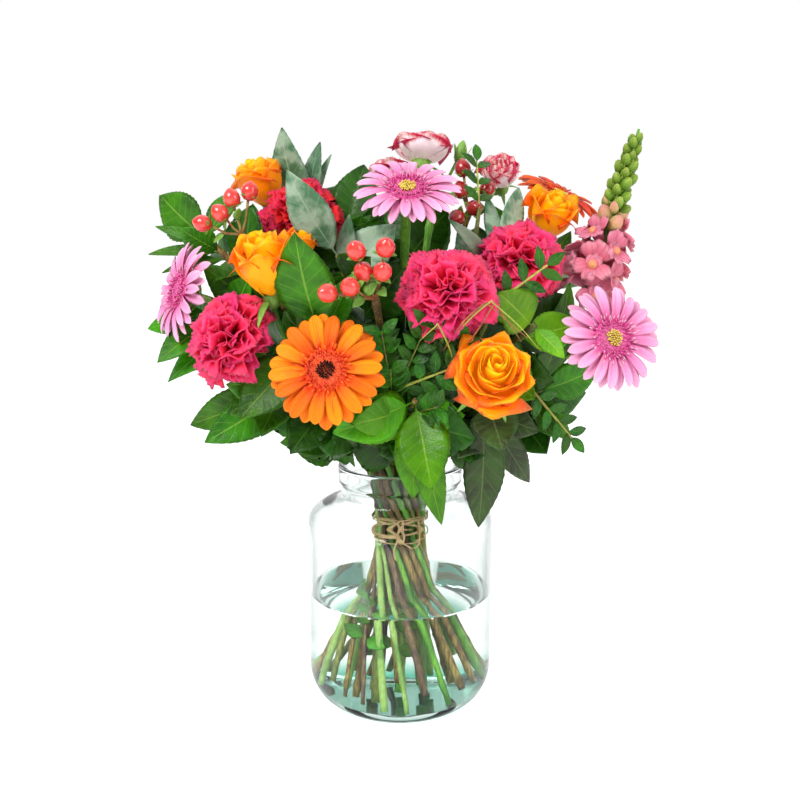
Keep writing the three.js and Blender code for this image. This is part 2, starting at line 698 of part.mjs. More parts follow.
// ---- Snapdragon: a green spike of buds with open flowers round its foot ------
{
  const one = growers.find((g) => g.kind === "snapdragon");
  one.foot = footOf(one, ROSE_STEM, one.order);
  const base = at(SNAPDRAGON.base);
  const tip = at(SNAPDRAGON.tip);
  const axis = tip.clone().sub(base).normalize();
  const across = v(0, 1, 0).cross(axis).normalize();
  const along = axis.clone().cross(across);
  const length = tip.distanceTo(base);
  const ringPoint = (share, angle, radius) =>
    base
      .clone()
      .addScaledVector(axis, length * share)
      .addScaledVector(across, Math.cos(angle) * radius)
      .addScaledVector(along, Math.sin(angle) * radius);
  const buds = [solidOf(rod(base, tip, 2.2))];
  const BUDS = 12;
  for (let i = 0; i < BUDS; i += 1) {
    const share = 0.5 + (0.47 * i) / (BUDS - 1);
    const reach = 8.5 * (1 - (0.75 * i) / (BUDS - 1));
    const centre = ringPoint(share, i * 2.4, reach);
    const out = centre.clone().sub(ringPoint(share - 0.08, 0, 0));
    buds.push(ball(centre, 4.8 - (2 * i) / (BUDS - 1), 1.5, out, 5, 3));
  }
  buds.push(ball(tip, 3.6, 1.6, axis));
  const { solid, skin } = settle(one, ROSE_STEM, buds);
  const flowers = [];
  for (let row = 0; row < 3; row += 1) {
    for (let k = 0; k < 4; k += 1) {
      const share = 0.08 + row * 0.13;
      const angle = k * (Math.PI / 2) + row * 0.8;
      const centre = ringPoint(share, angle, 11 - row * 1.2);
      const out = centre.clone().sub(ringPoint(share - 0.12, 0, 0));
      flowers.push(ball(centre, 10.8 - row * 0.9, 1.25, out, 5, 3));
    }
  }
  const open = joined(flowers).subtract(joined([skin, ...buds.map((bud) => bud)]));
  const bore = solidOf(rod(ringPoint(-0.3, 0, 0), ringPoint(0.6, 0, 0), 2.2 + STEM_GAP));
  const petals = biggest(open.subtract(bore));
  const spike = biggest(solid.subtract(petals));
  add("snapdragon_stem", geometryOf(spike), GREEN_STEM);
  add("snapdragon_flowers", geometryOf(petals), SNAP_PETAL);
  standing.push({ name: "snapdragon_stem", skin: joined([skin, ...buds]) });
  standing.push({ name: "snapdragon_flowers", skin: petals });
}

// ---- Berry sprigs -----------------------------------------------------------
for (const one of growers.filter((g) => g.kind === "berry")) {
  one.foot = footOf(one, TWIG, one.order);
  const parts = [];
  for (const berry of one.berry.berries) {
    const centre = at(berry);
    parts.push(solidOf(rod(one.end, centre, 0.9, 4)));
    parts.push(ball(centre, BERRY_RADIUS, 1.12, centre.clone().sub(one.end)));
  }
  const { solid, skin } = settle(one, TWIG, [ball(one.end, 2.2, 1, v(0, 0, 1)), ...parts]);
  add(one.name, geometryOf(solid), BERRY);
  standing.push({ name: one.name, skin: joined([skin, ...parts]) });
}

// ---- Leaves -----------------------------------------------------------------
// A blade: a thin lens that starts as a stalk, widens, and ends in a point.
// Each row is [share of the length, share of the half width].
const BLADE_ROWS = [[0, 0], [0.12, 0.08], [0.36, 0.82], [0.62, 1], [0.85, 0.56], [1, 0]];
const LEAFLET_ROWS = [[0, 0], [0.3, 0.85], [0.7, 0.9], [1, 0]];

function blade(base, tip, facing, width, rows, thick, arch, fold) {
  const along = tip.clone().sub(base);
  const length = along.length();
  along.normalize();
  const up = facing.clone().addScaledVector(along, -facing.dot(along)).normalize();
  const across = up.clone().cross(along);
  const geometry = new THREE.SphereGeometry(1, 4, rows.length - 1);
  const position = geometry.attributes.position;
  for (let i = 0; i < position.count; i += 1) {
    const row = Math.floor(i / 5);
    const angle = ((i % 5) / 4) * 2 * Math.PI;
    const [share, half] = rows[row];
    const side = row === 0 || row === rows.length - 1 ? 0 : -Math.round(Math.cos(angle));
    const face = row === 0 || row === rows.length - 1 ? 0 : Math.round(Math.sin(angle));
    const reach = Math.max(half * width * 0.5, 0.7);
    const rise = arch * length * 4 * share * (1 - share) + fold * Math.abs(side) * reach;
    const point = base
      .clone()
      .addScaledVector(along, share * length)
      .addScaledVector(across, side * reach)
      .addScaledVector(up, face * thick * 0.5 + rise);
    position.setXYZ(i, point.x, point.y, point.z);
  }
  return geometry;
}

// A leaf faces outward from the middle of the bouquet, and its tip gives way
// sideways or up and down until the blade lies clear of what stands there.
const BOUQUET_MIDDLE = v(0, 0, 290);
const LEAF_MIDDLE = v(0, 50, 280);
const LEAF_TURN = v(0.35, 1, 0.45); // how strongly a leaf turns sideways, to the front and up
const TWIG_TIP = 0.985; // the last leaves grow from just inside the end of the twig
const TIP_SHIFTS = [];
for (const lift of [0, 5, -5, 10, -10, 16, -16]) {
  for (const slide of [0, 6, -6, 12, -12]) TIP_SHIFTS.push([lift, slide]);
}
TIP_SHIFTS.sort((a, b) => Math.hypot(...a) - Math.hypot(...b));

function placeLeaf(base, tip, width, rows, thick) {
  const facing = base.clone().add(tip).multiplyScalar(0.5).sub(LEAF_MIDDLE).multiply(LEAF_TURN);
  facing.normalize();
  const along = tip.clone().sub(base).normalize();
  const side = facing.clone().cross(along).normalize();
  let best = null;
  for (const [lift, slide] of TIP_SHIFTS) {
    const end = tip.clone().addScaledVector(facing, lift).addScaledVector(side, slide);
    const skin = blade(base, end, facing, width + 0.6, rows, thick + 2 * STEM_GAP, 0.06, 0.12);
    const solid = solidOf(skin);
    const shared = inTheWay(solid);
    if (!best || shared < best.shared) best = { end, skin: solid, shared, facing };
    if (shared === 0) break;
  }
  const shape = blade(base, best.end, facing, width, rows, thick, 0.06, 0.12);
  return { solid: solidOf(shape), skin: best.skin, shared: best.shared };
}

// Lower leaves grow round the twig, a fixed turn apart; one with no free place is left out.
const LOWER_LEAVES = 6;
const LEAF_SPACING = 0.1;
const LEAF_SPIRAL = 2.4;
const BOUQUET_REACH = v(186, 152, 150);

function lowerLeaf(one, i) {
  const share = 0.88 - LEAF_SPACING * i;
  const base = one.route.curve.getPoint(share);
  const growth = one.route.curve.getPoint(share + 0.02).sub(base).normalize();
  const first = v(0, 0, 1).cross(growth).normalize();
  const second = growth.clone().cross(first);
  const angle = i * LEAF_SPIRAL + one.order;
  const length = 44 + 4 * ((one.order + i) % 4);
  const tip = base
    .clone()
    .addScaledVector(first, Math.cos(angle) * 0.8 * length)
    .addScaledVector(second, Math.sin(angle) * 0.8 * length)
    .addScaledVector(growth, 0.55 * length);
  return { base, tip, width: length * 0.54 };
}

for (const one of growers.filter((g) => g.kind === "sprig")) {
  one.foot = footOf(one, TWIG, one.order);
  const { solid, skin } = settle(one, TWIG, []);
  const parts = [solid];
  const skins = [skin];
  for (const [share, tip, width] of one.sprig.leaves) {
    const base = one.route.curve.getPoint(share * TWIG_TIP);
    const leaf = placeLeaf(base, at(tip), width, BLADE_ROWS, LEAF_THICKNESS);
    parts.push(leaf.solid);
    skins.push(leaf.skin);
  }
  for (let i = 0; i < LOWER_LEAVES; i += 1) {
    const { base, tip, width } = lowerLeaf(one, i);
    const out = tip.clone().sub(BOUQUET_MIDDLE).divide(BOUQUET_REACH).length();
    if (out > 1 || tip.z < JAR_HEIGHT + 8) continue;
    const leaf = placeLeaf(base, tip, width, BLADE_ROWS, LEAF_THICKNESS);
    if (leaf.shared > 0) continue;
    parts.push(leaf.solid);
    skins.push(leaf.skin);
  }
  const whole = cutClear(joined(parts));
  add(one.name, geometryOf(whole), one.sprig.finish);
  standing.push({ name: one.name, skin: joined(skins) });
}

for (const one of growers.filter((g) => g.kind === "pinnate")) {
  const { sprig } = one;
  one.foot = footOf(one, TWIG * 0.8, one.order);
  const from = one.end;
  const to = at(sprig.end);
  one.axis = to.clone().sub(from).add(v(0, 0, 12));
  const { solid, skin } = settle(one, TWIG * 0.8, [solidOf(rod(from, to, 0.9))]);
  const parts = [solid];
  const skins = [skin];
  const axis = to.clone().sub(from).normalize();
  const out = from.clone().sub(BOUQUET_MIDDLE).normalize();
  const across = axis.clone().cross(out).normalize();
  for (let i = 0; i < sprig.pairs; i += 1) {
    for (const hand of [-1, 1]) {
      const base = from.clone().lerp(to, (i + 0.5) / sprig.pairs);
      const tip = base
        .clone()
        .addScaledVector(across, hand * sprig.leaflet * 0.85)
        .addScaledVector(axis, sprig.leaflet * 0.5);
      const leaf = placeLeaf(base, tip, sprig.leaflet * 0.42, LEAFLET_ROWS, 1);
      parts.push(leaf.solid);
      skins.push(leaf.skin);
    }
  }
  const tip = to.clone().addScaledVector(axis, sprig.leaflet * 0.8);
  const last = to.clone().addScaledVector(axis, -1.5);
  parts.push(placeLeaf(last, tip, sprig.leaflet * 0.42, LEAFLET_ROWS, 1).solid);
  const whole = cutClear(joined(parts));
  add(one.name, geometryOf(whole), SMALL_LEAF);
  standing.push({ name: one.name, skin: joined(skins) });
}

// ---- Twine: two turns round the bundle, ends crossing at the front ----------
{
  const outer = RING_RADII[RING_RADII.length - 1] + ROSE_STEM;
  const radius = outer + TWINE_THICKNESS / 2 + 1.6;
  const TURNS = 2;
  const points = [];
  for (let i = 0; i <= TURNS * 16; i += 1) {
    const angle = -Math.PI / 2 + (i / 16) * 2 * Math.PI;
    const z = TIE_HEIGHT - 4 + (i / 16) * 4.2;
    points.push(v(radius * Math.cos(angle), radius * Math.sin(angle), z));
  }
  const path = new THREE.CatmullRomCurve3(points);
  const solid = solidOf(tube(path, TWINE_THICKNESS / 2, 5, TURNS * 16));
  add("twine_tie", geometryOf(cutClear(solid)), TWINE);
}

// ---- Water: fills the jar to its line, round the stems ----------------------
{
  const surface = JAR_FLOOR + WATER_DEPTH;
  const points = [
    [0, JAR_FLOOR + STEM_GAP],
    ...footArc(
      JAR_RADIUS - JAR_WALL - STEM_GAP,
      INNER_ROUND,
      JAR_FLOOR + STEM_GAP,
      4,
    ),
    [JAR_RADIUS - JAR_WALL - STEM_GAP, surface],
    [0, surface],
  ];
  let water = solidOf(turned(points, JAR_SIDES));
  for (const one of growers) {
    const thick = one.kind === "flower" ? KINDS[one.flower.kind].stem : ROSE_STEM;
    const low = one.foot.clone().addScaledVector(one.route.waist.clone().sub(one.foot).normalize(), -0.4);
    water = water.subtract(solidOf(rod(low, one.route.waist, thick + STEM_GAP, 6)));
  }
  add("water", geometryOf(biggest(water)), WATER);
}

export default bouquet;
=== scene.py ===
import math
import bpy
import numpy as np
from mathutils import Matrix, Vector


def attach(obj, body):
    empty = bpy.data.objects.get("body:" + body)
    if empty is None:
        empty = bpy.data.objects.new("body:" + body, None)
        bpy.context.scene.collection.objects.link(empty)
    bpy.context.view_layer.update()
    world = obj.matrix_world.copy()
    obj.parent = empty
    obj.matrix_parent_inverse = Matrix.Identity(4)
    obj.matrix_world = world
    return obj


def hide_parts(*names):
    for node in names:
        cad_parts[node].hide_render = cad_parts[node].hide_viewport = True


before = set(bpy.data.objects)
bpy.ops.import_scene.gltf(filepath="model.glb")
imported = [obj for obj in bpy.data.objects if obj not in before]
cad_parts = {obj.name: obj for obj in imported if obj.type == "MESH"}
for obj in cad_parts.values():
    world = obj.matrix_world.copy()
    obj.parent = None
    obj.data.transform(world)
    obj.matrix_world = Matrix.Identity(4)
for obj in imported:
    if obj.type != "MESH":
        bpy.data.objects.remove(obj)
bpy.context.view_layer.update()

# ---- Glass jar ------------------------------------------------------------------
# The jar is blown and pressed soda-lime glass in one piece, with a thick green-tinted
# base, thin walls, a sloped shoulder and a rolled band round the mouth.
# It stands free on its flat underside and carries everything else.
MM = 0.001
JAR_HEIGHT = 200
JAR_RADIUS = 75
JAR_WALL = 3.2
JAR_FLOOR = 9
FOOT_ROUND = 30
INNER_ROUND = 24
NECK_BOTTOM = 172
SHOULDER_BOTTOM = 159
NECK_RADIUS = 47.5
RIM_RADIUS = 50
RIM_BAND = 15
WATER_TOP = 95


def linear(hex_colour):
    """An sRGB hex colour as linear red, green, blue and alpha."""
    shares = [int(hex_colour[i : i + 2], 16) / 255 for i in (1, 3, 5)]
    return [s / 12.92 if s <= 0.04045 else ((s + 0.055) / 1.055) ** 2.4 for s in shares] + [1]


def add_node(tree, kind, inputs=None, **settings):
    """Adds a node with its settings; inputs holds a value or a socket to link for each input."""
    made = tree.nodes.new(kind)
    for key, value in settings.items():
        setattr(made, key, value)
    for key, value in (inputs or {}).items():
        if isinstance(value, bpy.types.NodeSocket):
            tree.links.new(value, made.inputs[key])
        else:
            made.inputs[key].default_value = value
    return made


def new_material(name):
    """An empty material, and its tree."""
    material = bpy.data.materials.new(name)
    material.use_nodes = True
    material.node_tree.nodes.clear()
    return material, material.node_tree


def part(co, faces, material, flow=None, tone=0.5):
    """One closed shape in millimetres; flow is across, along and tone at each vertex."""
    co = np.asarray(co, float)
    whole = np.zeros((len(co), 3))
    if flow is not None:
        whole[:, :2] = flow
    whole[:, 2] = tone
    return {"co": co, "faces": faces, "material": material, "flow": whole}


def inside_out(co, faces):
    """True where the faces of a closed shape point inwards."""
    total = 0.0
    for size in (3, 4):
        some = np.array([f for f in faces if len(f) == size], int)
        for k in range(1, size - 1):
            if len(some):
                a, b, c = co[some[:, 0]], co[some[:, k]], co[some[:, k + 1]]
                total += np.einsum("ij,ij->i", a, np.cross(b, c)).sum()
    return total < 0


def turned(outline, around, material, ripple=None):
    """A closed turned shape about +Z from [radius, height] points that start and end on the axis."""
    rings = outline[1:-1]
    turns = np.arange(around) / around * 2 * math.pi
    co = [[0, 0, outline[0][1]], [0, 0, outline[-1][1]]]
    flow = [[0, 0], [0, 1]]
    for k, (radius, height) in enumerate(rings):
        for i, turn in enumerate(turns):
            r = radius * (ripple(turn, k / len(rings)) if ripple else 1)
            co.append([r * math.cos(turn), r * math.sin(turn), height])
            flow.append([i / around, k / len(rings)])
    faces = []
    for i in range(around):
        j = (i + 1) % around
        faces.append([0, 2 + j, 2 + i])
        last = 2 + (len(rings) - 1) * around
        faces.append([1, last + i, last + j])
        for k in range(len(rings) - 1):
            row = 2 + k * around
            faces.append([row + i, row + j, row + around + j, row + around + i])
    co = np.array(co, float)
    if inside_out(co, faces):
        faces = [f[::-1] for f in faces]
    return part(co, faces, material, flow)


def make_piece(name, parts, slot, *nodes):
    """Joins parts into one mesh object in metres that stands for the CAD nodes."""
    co = np.concatenate([p["co"] for p in parts]) * MM
    flow = np.concatenate([p["flow"] for p in parts])
    finishes = []
    faces, finish_of = [], []
    start = 0
    for p in parts:
        own = [p["material"], *p.get("more", [])]
        finishes += [finish for finish in own if finish not in finishes]
        faces += [[start + i for i in f] for f in p["faces"]]
        finish_of += [finishes.index(own[k]) for k in p.get("finish_of", [0] * len(p["faces"]))]
        start += len(p["co"])
    mesh = bpy.data.meshes.new(name)
    mesh.from_pydata(co.tolist(), [], faces)
    for finish in finishes:
        mesh.materials.append(finish)
    mesh.polygons.foreach_set("material_index", finish_of)
    mesh.attributes.new("flow", "FLOAT_VECTOR", "POINT").data.foreach_set("vector", flow.ravel())
    mesh.shade_smooth()
    piece = bpy.data.objects.new(name, mesh)
    bpy.context.scene.collection.objects.link(piece)
    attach(piece, "root")
    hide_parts(*nodes)
    return piece


def arc(radius, rounding, bottom, steps):
    """The rounded lower corner of the jar, from the underside up to the wall."""
    points = []
    for i in range(steps + 1):
        turn = i / steps * math.pi / 2
        across = radius - rounding + rounding * math.sin(turn)
        points.append([across, bottom + rounding * (1 - math.cos(turn))])
    return points


def smoothed(points, steps):
    """A softer line through the points, its ends kept."""
    p = np.array([points[0], *points, points[-1]], float)
    line = []
    for i in range(1, len(p) - 2):
        for t in np.arange(steps) / steps:
            a, b, c, d = p[i - 1 : i + 3]
            line.append(
                (0.5 * (2 * b + (c - a) * t + (2 * a - 5 * b + 4 * c - d) * t**2
                        + (3 * b - a - 3 * c + d) * t**3)).tolist()
            )
    return [*line, p[-1].tolist()]


# Soda-lime glass, blown: index 1.5, near mirror smooth, faintly blue-green in depth,
# which shows as a teal glow in the thick base. The darker lines along the walls are
# painted shade: the glass colour turns grey where a wall is seen side-on.
def lit_through(tree, surface):
    """Clear things cast hardly any shadow: light from the lamps passes straight in."""
    clear = add_node(tree, "ShaderNodeBsdfTransparent", {"Color": linear("#F4FAF8")}).outputs[0]
    shadow = add_node(tree, "ShaderNodeLightPath").outputs["Is Shadow Ray"]
    return add_node(tree, "ShaderNodeMixShader", {0: shadow, 1: surface, 2: clear}).outputs[0]


def glass(name, index):
    """Jar glass whose surface meets a medium; index is its own over the medium's."""
    material, tree = new_material(name)
    place = add_node(tree, "ShaderNodeTexCoord").outputs["Object"]
    low = add_node(tree, "ShaderNodeMapRange", {
        0: add_node(tree, "ShaderNodeSeparateXYZ", {0: place}).outputs[2],
        1: 0.002, 2: 0.022, 3: 1.0, 4: 0.0,
    }, interpolation_type="SMOOTHSTEP").outputs[0]
    # Painted shade: where the glass is seen side-on its colour turns grey, so the jar's edges read as dark lines.
    painted_edge_shade = add_node(tree, "ShaderNodeMapRange", {
        0: add_node(tree, "ShaderNodeLayerWeight", {"Blend": 0.5}).outputs["Facing"],
        1: 0.5, 2: 0.88, 3: 0.0, 4: 1.0,
    }, interpolation_type="SMOOTHSTEP").outputs[0]
    wall = add_node(tree, "ShaderNodeMix", {
        0: painted_edge_shade, 6: linear("#F5F9F8"), 7: linear("#8B9995"),
    }, data_type="RGBA").outputs[2]
    tint = add_node(
        tree, "ShaderNodeMix", {0: low, 6: wall, 7: linear("#3DA88A")}, data_type="RGBA"
    ).outputs[2]
    ripple = add_node(tree, "ShaderNodeTexNoise", {"Vector": place, "Scale": 28.0, "Detail": 1.0})
    surface = add_node(tree, "ShaderNodeBsdfPrincipled", {
        "Base Color": tint, "Roughness": 0.0, "IOR": index, "Transmission Weight": 1.0,
        "Specular Tint": linear("#B4B4B4"),
        "Normal": add_node(tree, "ShaderNodeBump", {
            "Height": ripple.outputs[0], "Strength": 0.06, "Distance": 0.002,
        }).outputs[0],
    }).outputs[0]
    add_node(tree, "ShaderNodeOutputMaterial", {"Surface": lit_through(tree, surface)})
    return material


clear_glass = glass("soda-lime glass", 1.5)
# Where water wets the glass the step in index is smaller, so the wall all but vanishes.
wet_glass = glass("wet soda-lime glass", 1.125)

outside = [
    [JAR_RADIUS, SHOULDER_BOTTOM - 16], [JAR_RADIUS, SHOULDER_BOTTOM - 8],
    [JAR_RADIUS - 2, SHOULDER_BOTTOM], [JAR_RADIUS - 11, SHOULDER_BOTTOM + 7],
    [NECK_RADIUS + 6, NECK_BOTTOM - 3], [NECK_RADIUS + 0.8, NECK_BOTTOM + 1.5],
    [NECK_RADIUS, NECK_BOTTOM + 5], [NECK_RADIUS, JAR_HEIGHT - RIM_BAND - 3],
    [NECK_RADIUS + 0.6, JAR_HEIGHT - RIM_BAND - 1],
    [RIM_RADIUS - 0.3, JAR_HEIGHT - RIM_BAND + 1], [RIM_RADIUS, JAR_HEIGHT - RIM_BAND + 3],
    [RIM_RADIUS, JAR_HEIGHT - 3], [RIM_RADIUS - 0.6, JAR_HEIGHT - 0.8],
    [RIM_RADIUS - 2, JAR_HEIGHT],
]
inside = [
    [NECK_RADIUS - 1, JAR_HEIGHT], [NECK_RADIUS - 2.3, JAR_HEIGHT - 1],
    [NECK_RADIUS - JAR_WALL + 0.3, JAR_HEIGHT - 3],
    [NECK_RADIUS - JAR_WALL, JAR_HEIGHT - 12], [NECK_RADIUS - JAR_WALL, NECK_BOTTOM + 3],
    [NECK_RADIUS + 2, NECK_BOTTOM - 4], [JAR_RADIUS - 13, SHOULDER_BOTTOM + 3],
    [JAR_RADIUS - JAR_WALL - 2, SHOULDER_BOTTOM - 3],
    [JAR_RADIUS - JAR_WALL, SHOULDER_BOTTOM - 10], [JAR_RADIUS - JAR_WALL, SHOULDER_BOTTOM - 20],
]
jar_outline = [
    [0, 0], [JAR_RADIUS - FOOT_ROUND - 2, 0], *arc(JAR_RADIUS, FOOT_ROUND, 0, 14),
    *smoothed(outside, 3), *smoothed(inside, 3), [JAR_RADIUS - JAR_WALL, WATER_TOP],
    *arc(JAR_RADIUS - JAR_WALL, INNER_ROUND, JAR_FLOOR, 12)[::-1], [20, JAR_FLOOR + 0.6],
    [0, JAR_FLOOR + 1],
]
jar = turned(jar_outline, 128, clear_glass)
middles = np.array([jar["co"][f].mean(0) for f in jar["faces"]])
across = np.hypot(middles[:, 0], middles[:, 1])
wet = (across < JAR_RADIUS - JAR_WALL + 0.3) & (middles[:, 2] > JAR_FLOOR - 1) & (middles[:, 2] < WATER_TOP)
jar["finish_of"] = wet.astype(int)
jar["more"] = [wet_glass]
make_piece("clear_jar", [jar], "glass", "glass_jar")

# ---- Water ----------------------------------------------------------------------
# Still water fills the jar to just under half. It creeps a little way up the glass all
# round, and it reaches a hair into the wall so that no dark film of air shows between.
CREEP = 1.6
WALL_OVERLAP = 0.4

# Tap water: index 1.33, clear, very faintly green in depth.
def water(name, alpha):
    """Water; the skin against the glass is left to the glass, so it hardly shows."""
    material, tree = new_material(name)
    surface = add_node(tree, "ShaderNodeBsdfPrincipled", {
        "Base Color": linear("#F7FCFB"), "Roughness": 0.0, "IOR": 1.333,
        "Transmission Weight": 1.0, "Alpha": alpha, "Specular Tint": linear("#C4C4C4"),
        "Normal": add_node(tree, "ShaderNodeBump", {
            "Height": add_node(tree, "ShaderNodeTexNoise", {
                "Vector": add_node(tree, "ShaderNodeTexCoord").outputs["Object"],
                "Scale": 16.0, "Detail": 0.0,
            }).outputs[0],
            "Strength": 0.04, "Distance": 0.002,
        }).outputs[0],
    }).outputs[0]
    add_node(tree, "ShaderNodeOutputMaterial", {"Surface": lit_through(tree, surface)})
    return material


tap_water = water("tap water", 1.0)
water_on_glass = water("water against the glass", 0.0)
water_radius = JAR_RADIUS - JAR_WALL + WALL_OVERLAP
water_outline = [
    [0, JAR_FLOOR + 0.9], [20, JAR_FLOOR + 0.4],
    *arc(water_radius, INNER_ROUND, JAR_FLOOR - 0.4, 12),
    [water_radius, WATER_TOP + CREEP], [water_radius - 1.2, WATER_TOP + CREEP * 0.4],
    [water_radius - 3.5, WATER_TOP + 0.1], [water_radius - 8, WATER_TOP], [0, WATER_TOP],
]
body = turned(water_outline, 96, tap_water)
middles = np.array([body["co"][f].mean(0) for f in body["faces"]])
body["finish_of"] = (middles[:, 2] < WATER_TOP - 0.5).astype(int)
body["more"] = [water_on_glass]
make_piece("still_water", [body], "water", "water")

# ---- Places of the stems in the tie ------------------------------------------------
# The bouquet is spiralled in the hand: the steepest stems stand in the middle and the
# flattest outside, each leaning out to its own side, and the tie holds them in rings.
# Each entry is a name, the middle of the bloom, the way it faces, and its size.
BLOOMS = {
    "orange_gerbera": ("gerbera", (-47, -150, 299), (-0.06, -0.93, 0.32), 1),
    "top_pink_gerbera": ("gerbera", (5, -80, 413), (0.03, -0.56, 0.83), 1),
    "left_pink_gerbera": ("gerbera", (-161, -46, 341), (-0.8, -0.5, 0.3), 1),
    "right_pink_gerbera": ("gerbera", (145, -100, 313), (0.3, -0.87, 0.35), 1),
    "rust_gerbera": ("gerbera", (133, 68, 412), (0.4, -0.25, 0.88), 1),
    "left_rose": ("rose", (-90, -115, 367), (-0.14, -0.3, 0.94), 1),
    "upper_rose": ("rose", (-110, 15, 424), (-0.3, -0.2, 0.93), 0.88),
    "front_rose": ("rose", (60, -150, 300), (0.03, -0.86, 0.5), 0.98),
    "right_rose": ("rose", (114, -12, 398), (0.25, -0.45, 0.85), 0.85),
    "small_rose": ("rose", (-69, -66, 379), (0.2, -0.3, 0.93), 0.5),
    "left_carnation": ("carnation", (-121, -114, 319), (-0.6, -0.6, 0.52), 1),
    "upper_carnation": ("carnation", (-73, -22, 404), (0.02, -0.52, 0.85), 0.95),
    "centre_carnation": ("carnation", (31, -130, 355), (0.02, -0.68, 0.73), 1),
    "right_carnation": ("carnation", (88, -68, 372), (0.2, -0.58, 0.78), 1),
}
SPRAY_BLOOMS = {
    "top_spray_rose": ((17, 5, 448), (0.05, 0.25, 0.96), 1.22, 0.95),
    "left_spray_rose": ((-12, 42, 430), (-0.35, 0.15, 0.92), 0.95, 1.3),
    "right_spray_rose": ((78, 15, 430), (-0.12, -0.6, 0.78), 0.9, 1.4),
}
SPRAY_FORK = Vector((26, 12, 412))
SPIKE_BASE = Vector((139, -28, 333))
SPIKE_TIP = Vector((176, -20, 458))
BERRY_FORKS = {
    "left_berry_sprig": (-112, -60, 382),
    "centre_berry_sprig": (-16, -124, 342),
    "back_berry_sprig": (52, -14, 398),
}
SPRIG_ENDS = {
    "top_left_leaf_sprig": (-76, 34, 392), "top_leaf_sprig": (-40, -14, 384),
    "far_left_leaf_sprig": (-148, -12, 380), "left_leaf_sprig": (-140, -34, 326),
    "low_left_leaf_sprig": (-88, -88, 282), "front_left_leaf_sprig": (-54, -112, 318),
    "grey_leaf_sprig": (-44, -62, 368), "rim_left_leaf_sprig": (-58, -84, 262),
    "front_leaf_sprig": (10, -122, 274), "front_right_leaf_sprig": (60, -106, 270),
    "low_right_leaf_sprig": (104, -52, 268), "right_leaf_sprig": (92, -98, 322),
    "narrow_leaf_sprig": (70, -44, 366), "back_left_leaf_sprig": (-112, 70, 350),
    "back_leaf_sprig": (2, 96, 366), "back_right_leaf_sprig": (112, 76, 346),
}
# A pinnate sprig's first and last pair, the number of pairs, and a leaflet's length.
PINNATE = {
    "centre_pinnate_sprig": ((-2, -112, 280), (38, -132, 299), 4, 19),
    "right_pinnate_sprig": ((66, -112, 340), (97, -118, 364), 3, 17),
    "top_pinnate_sprig": ((58, -34, 400), (57, -18, 436), 3, 17),
    "low_right_pinnate_sprig": ((92, -98, 276), (120, -100, 243), 4, 17),
}
STEM_RADIUS = {"gerbera": 2.6, "rose": 2.5, "carnation": 2.1, "twig": 1.9, "pinnate": 1.52}
BLOOM_RADIUS = {"gerbera": 36, "rose": 26, "carnation": 33, "spray": 21}
CUP_DEPTH = {"gerbera": 7, "rose": 9, "carnation": 20, "spray": 7}
TIE_HEIGHT = 150
TIE_TURN = -0.02
TIE_RINGS = [(1, 0), (6, 5.6), (12, 5.6 * 2.02), (20, 5.6 * 3.2)]
STRAIGHT_TOP = 184
CUT_HEIGHTS = [12, 17, 11, 24, 14, 20, 13, 30, 16]
BENDS = [
    (0.42, 0.3, 0), (0.34, 0.26, 0), (0.5, 0.22, 0), (0.42, 0.3, 9), (0.42, 0.3, -9),
    (0.34, 0.3, 16), (0.34, 0.3, -16), (0.5, 0.26, 22), (0.5, 0.26, -22), (0.3, 0.4, 30),
    (0.3, 0.4, -30), (0.55, 0.2, 12), (0.55, 0.2, -12),
]


def bloom_base(kind, heart, facing, size, tall=1.75):
    """Where a bloom springs from its cup, and its axis."""
    axis = Vector(facing).normalized()
    radius = BLOOM_RADIUS[kind] * size
    middle = {
        "gerbera": 7.2, "rose": radius * 0.95, "carnation": radius * 0.62,
        "spray": radius * tall * 0.55,
    }[kind]
    return Vector(heart) - axis * middle, axis


def node_points(name):
    """The vertices of a CAD node in millimetres."""
    return np.array([v.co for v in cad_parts[name].data.vertices], float) / MM


class Stem:
    """A stem's route: straight through the tie, then one long curve to its end."""

    def __init__(self, name, node, end, kind, axis=None, slim=1.0):
        self.name, self.node, self.kind = name, node, kind
        self.end, self.axis = Vector(end), axis
        self.radius = STEM_RADIUS[kind] * slim
        self.lean = math.atan2(math.hypot(self.end.x, self.end.y), self.end.z - 190)
        self.side = math.atan2(self.end.y, self.end.x) + 0.9

    def low(self, z):
        rise = (z - TIE_HEIGHT) * TIE_TURN
        x, y = self.place
        return Vector((x - rise * y, y + rise * x, z))

    def settle(self):
        """Picks the foot's height and the bend that the CAD node has."""
        z = CUT_HEIGHTS[self.order % len(CUT_HEIGHTS)]
        wall = JAR_RADIUS - JAR_WALL
        while z < TIE_HEIGHT:
            up = JAR_FLOOR + INNER_ROUND - (z - self.radius)
            room = wall
            if up > 0:
                room = wall - INNER_ROUND + math.sqrt(max(0, INNER_ROUND**2 - up * up))
                room *= math.cos(math.pi / 32)
            if self.low(z).xy.length < room - self.radius * 1.15 - 0.8:
                break
            z += 1
        self.foot, self.waist = self.low(z), self.low(STRAIGHT_TOP)
        rise = (self.waist - self.low(TIE_HEIGHT)).normalized()
        span = (self.end - self.waist).length
        axis = (self.axis or self.end - Vector((0, 0, 220))).normalized()
        known = node_points(self.node)
        best = -1
        for first, last, sideways in BENDS:
            side = Vector((-self.end.y, self.end.x, 0)).normalized() * sideways
            hull = (
                self.waist, self.waist + rise * span * first + side,
                self.end - axis * span * last + side, self.end,
            )
            found = 0
            for k in (1, 2, 3, 4):
                away = np.linalg.norm(known - np.array(bezier(hull, k / 5)), axis=1)
                found += int((abs(away - self.radius) < 0.02).sum())
            if found > best:
                best, self.hull = found, hull

    def at(self, share):
        return bezier(self.hull, share)

    def along(self, share):
        return (self.at(share + 0.02) - self.at(share)).normalized()

    def line(self, steps=36):
        foot = [self.foot.lerp(self.waist, t) for t in np.arange(14) / 14]
        return np.array([*foot, *[self.at(t) for t in np.arange(steps + 1) / steps]], float)


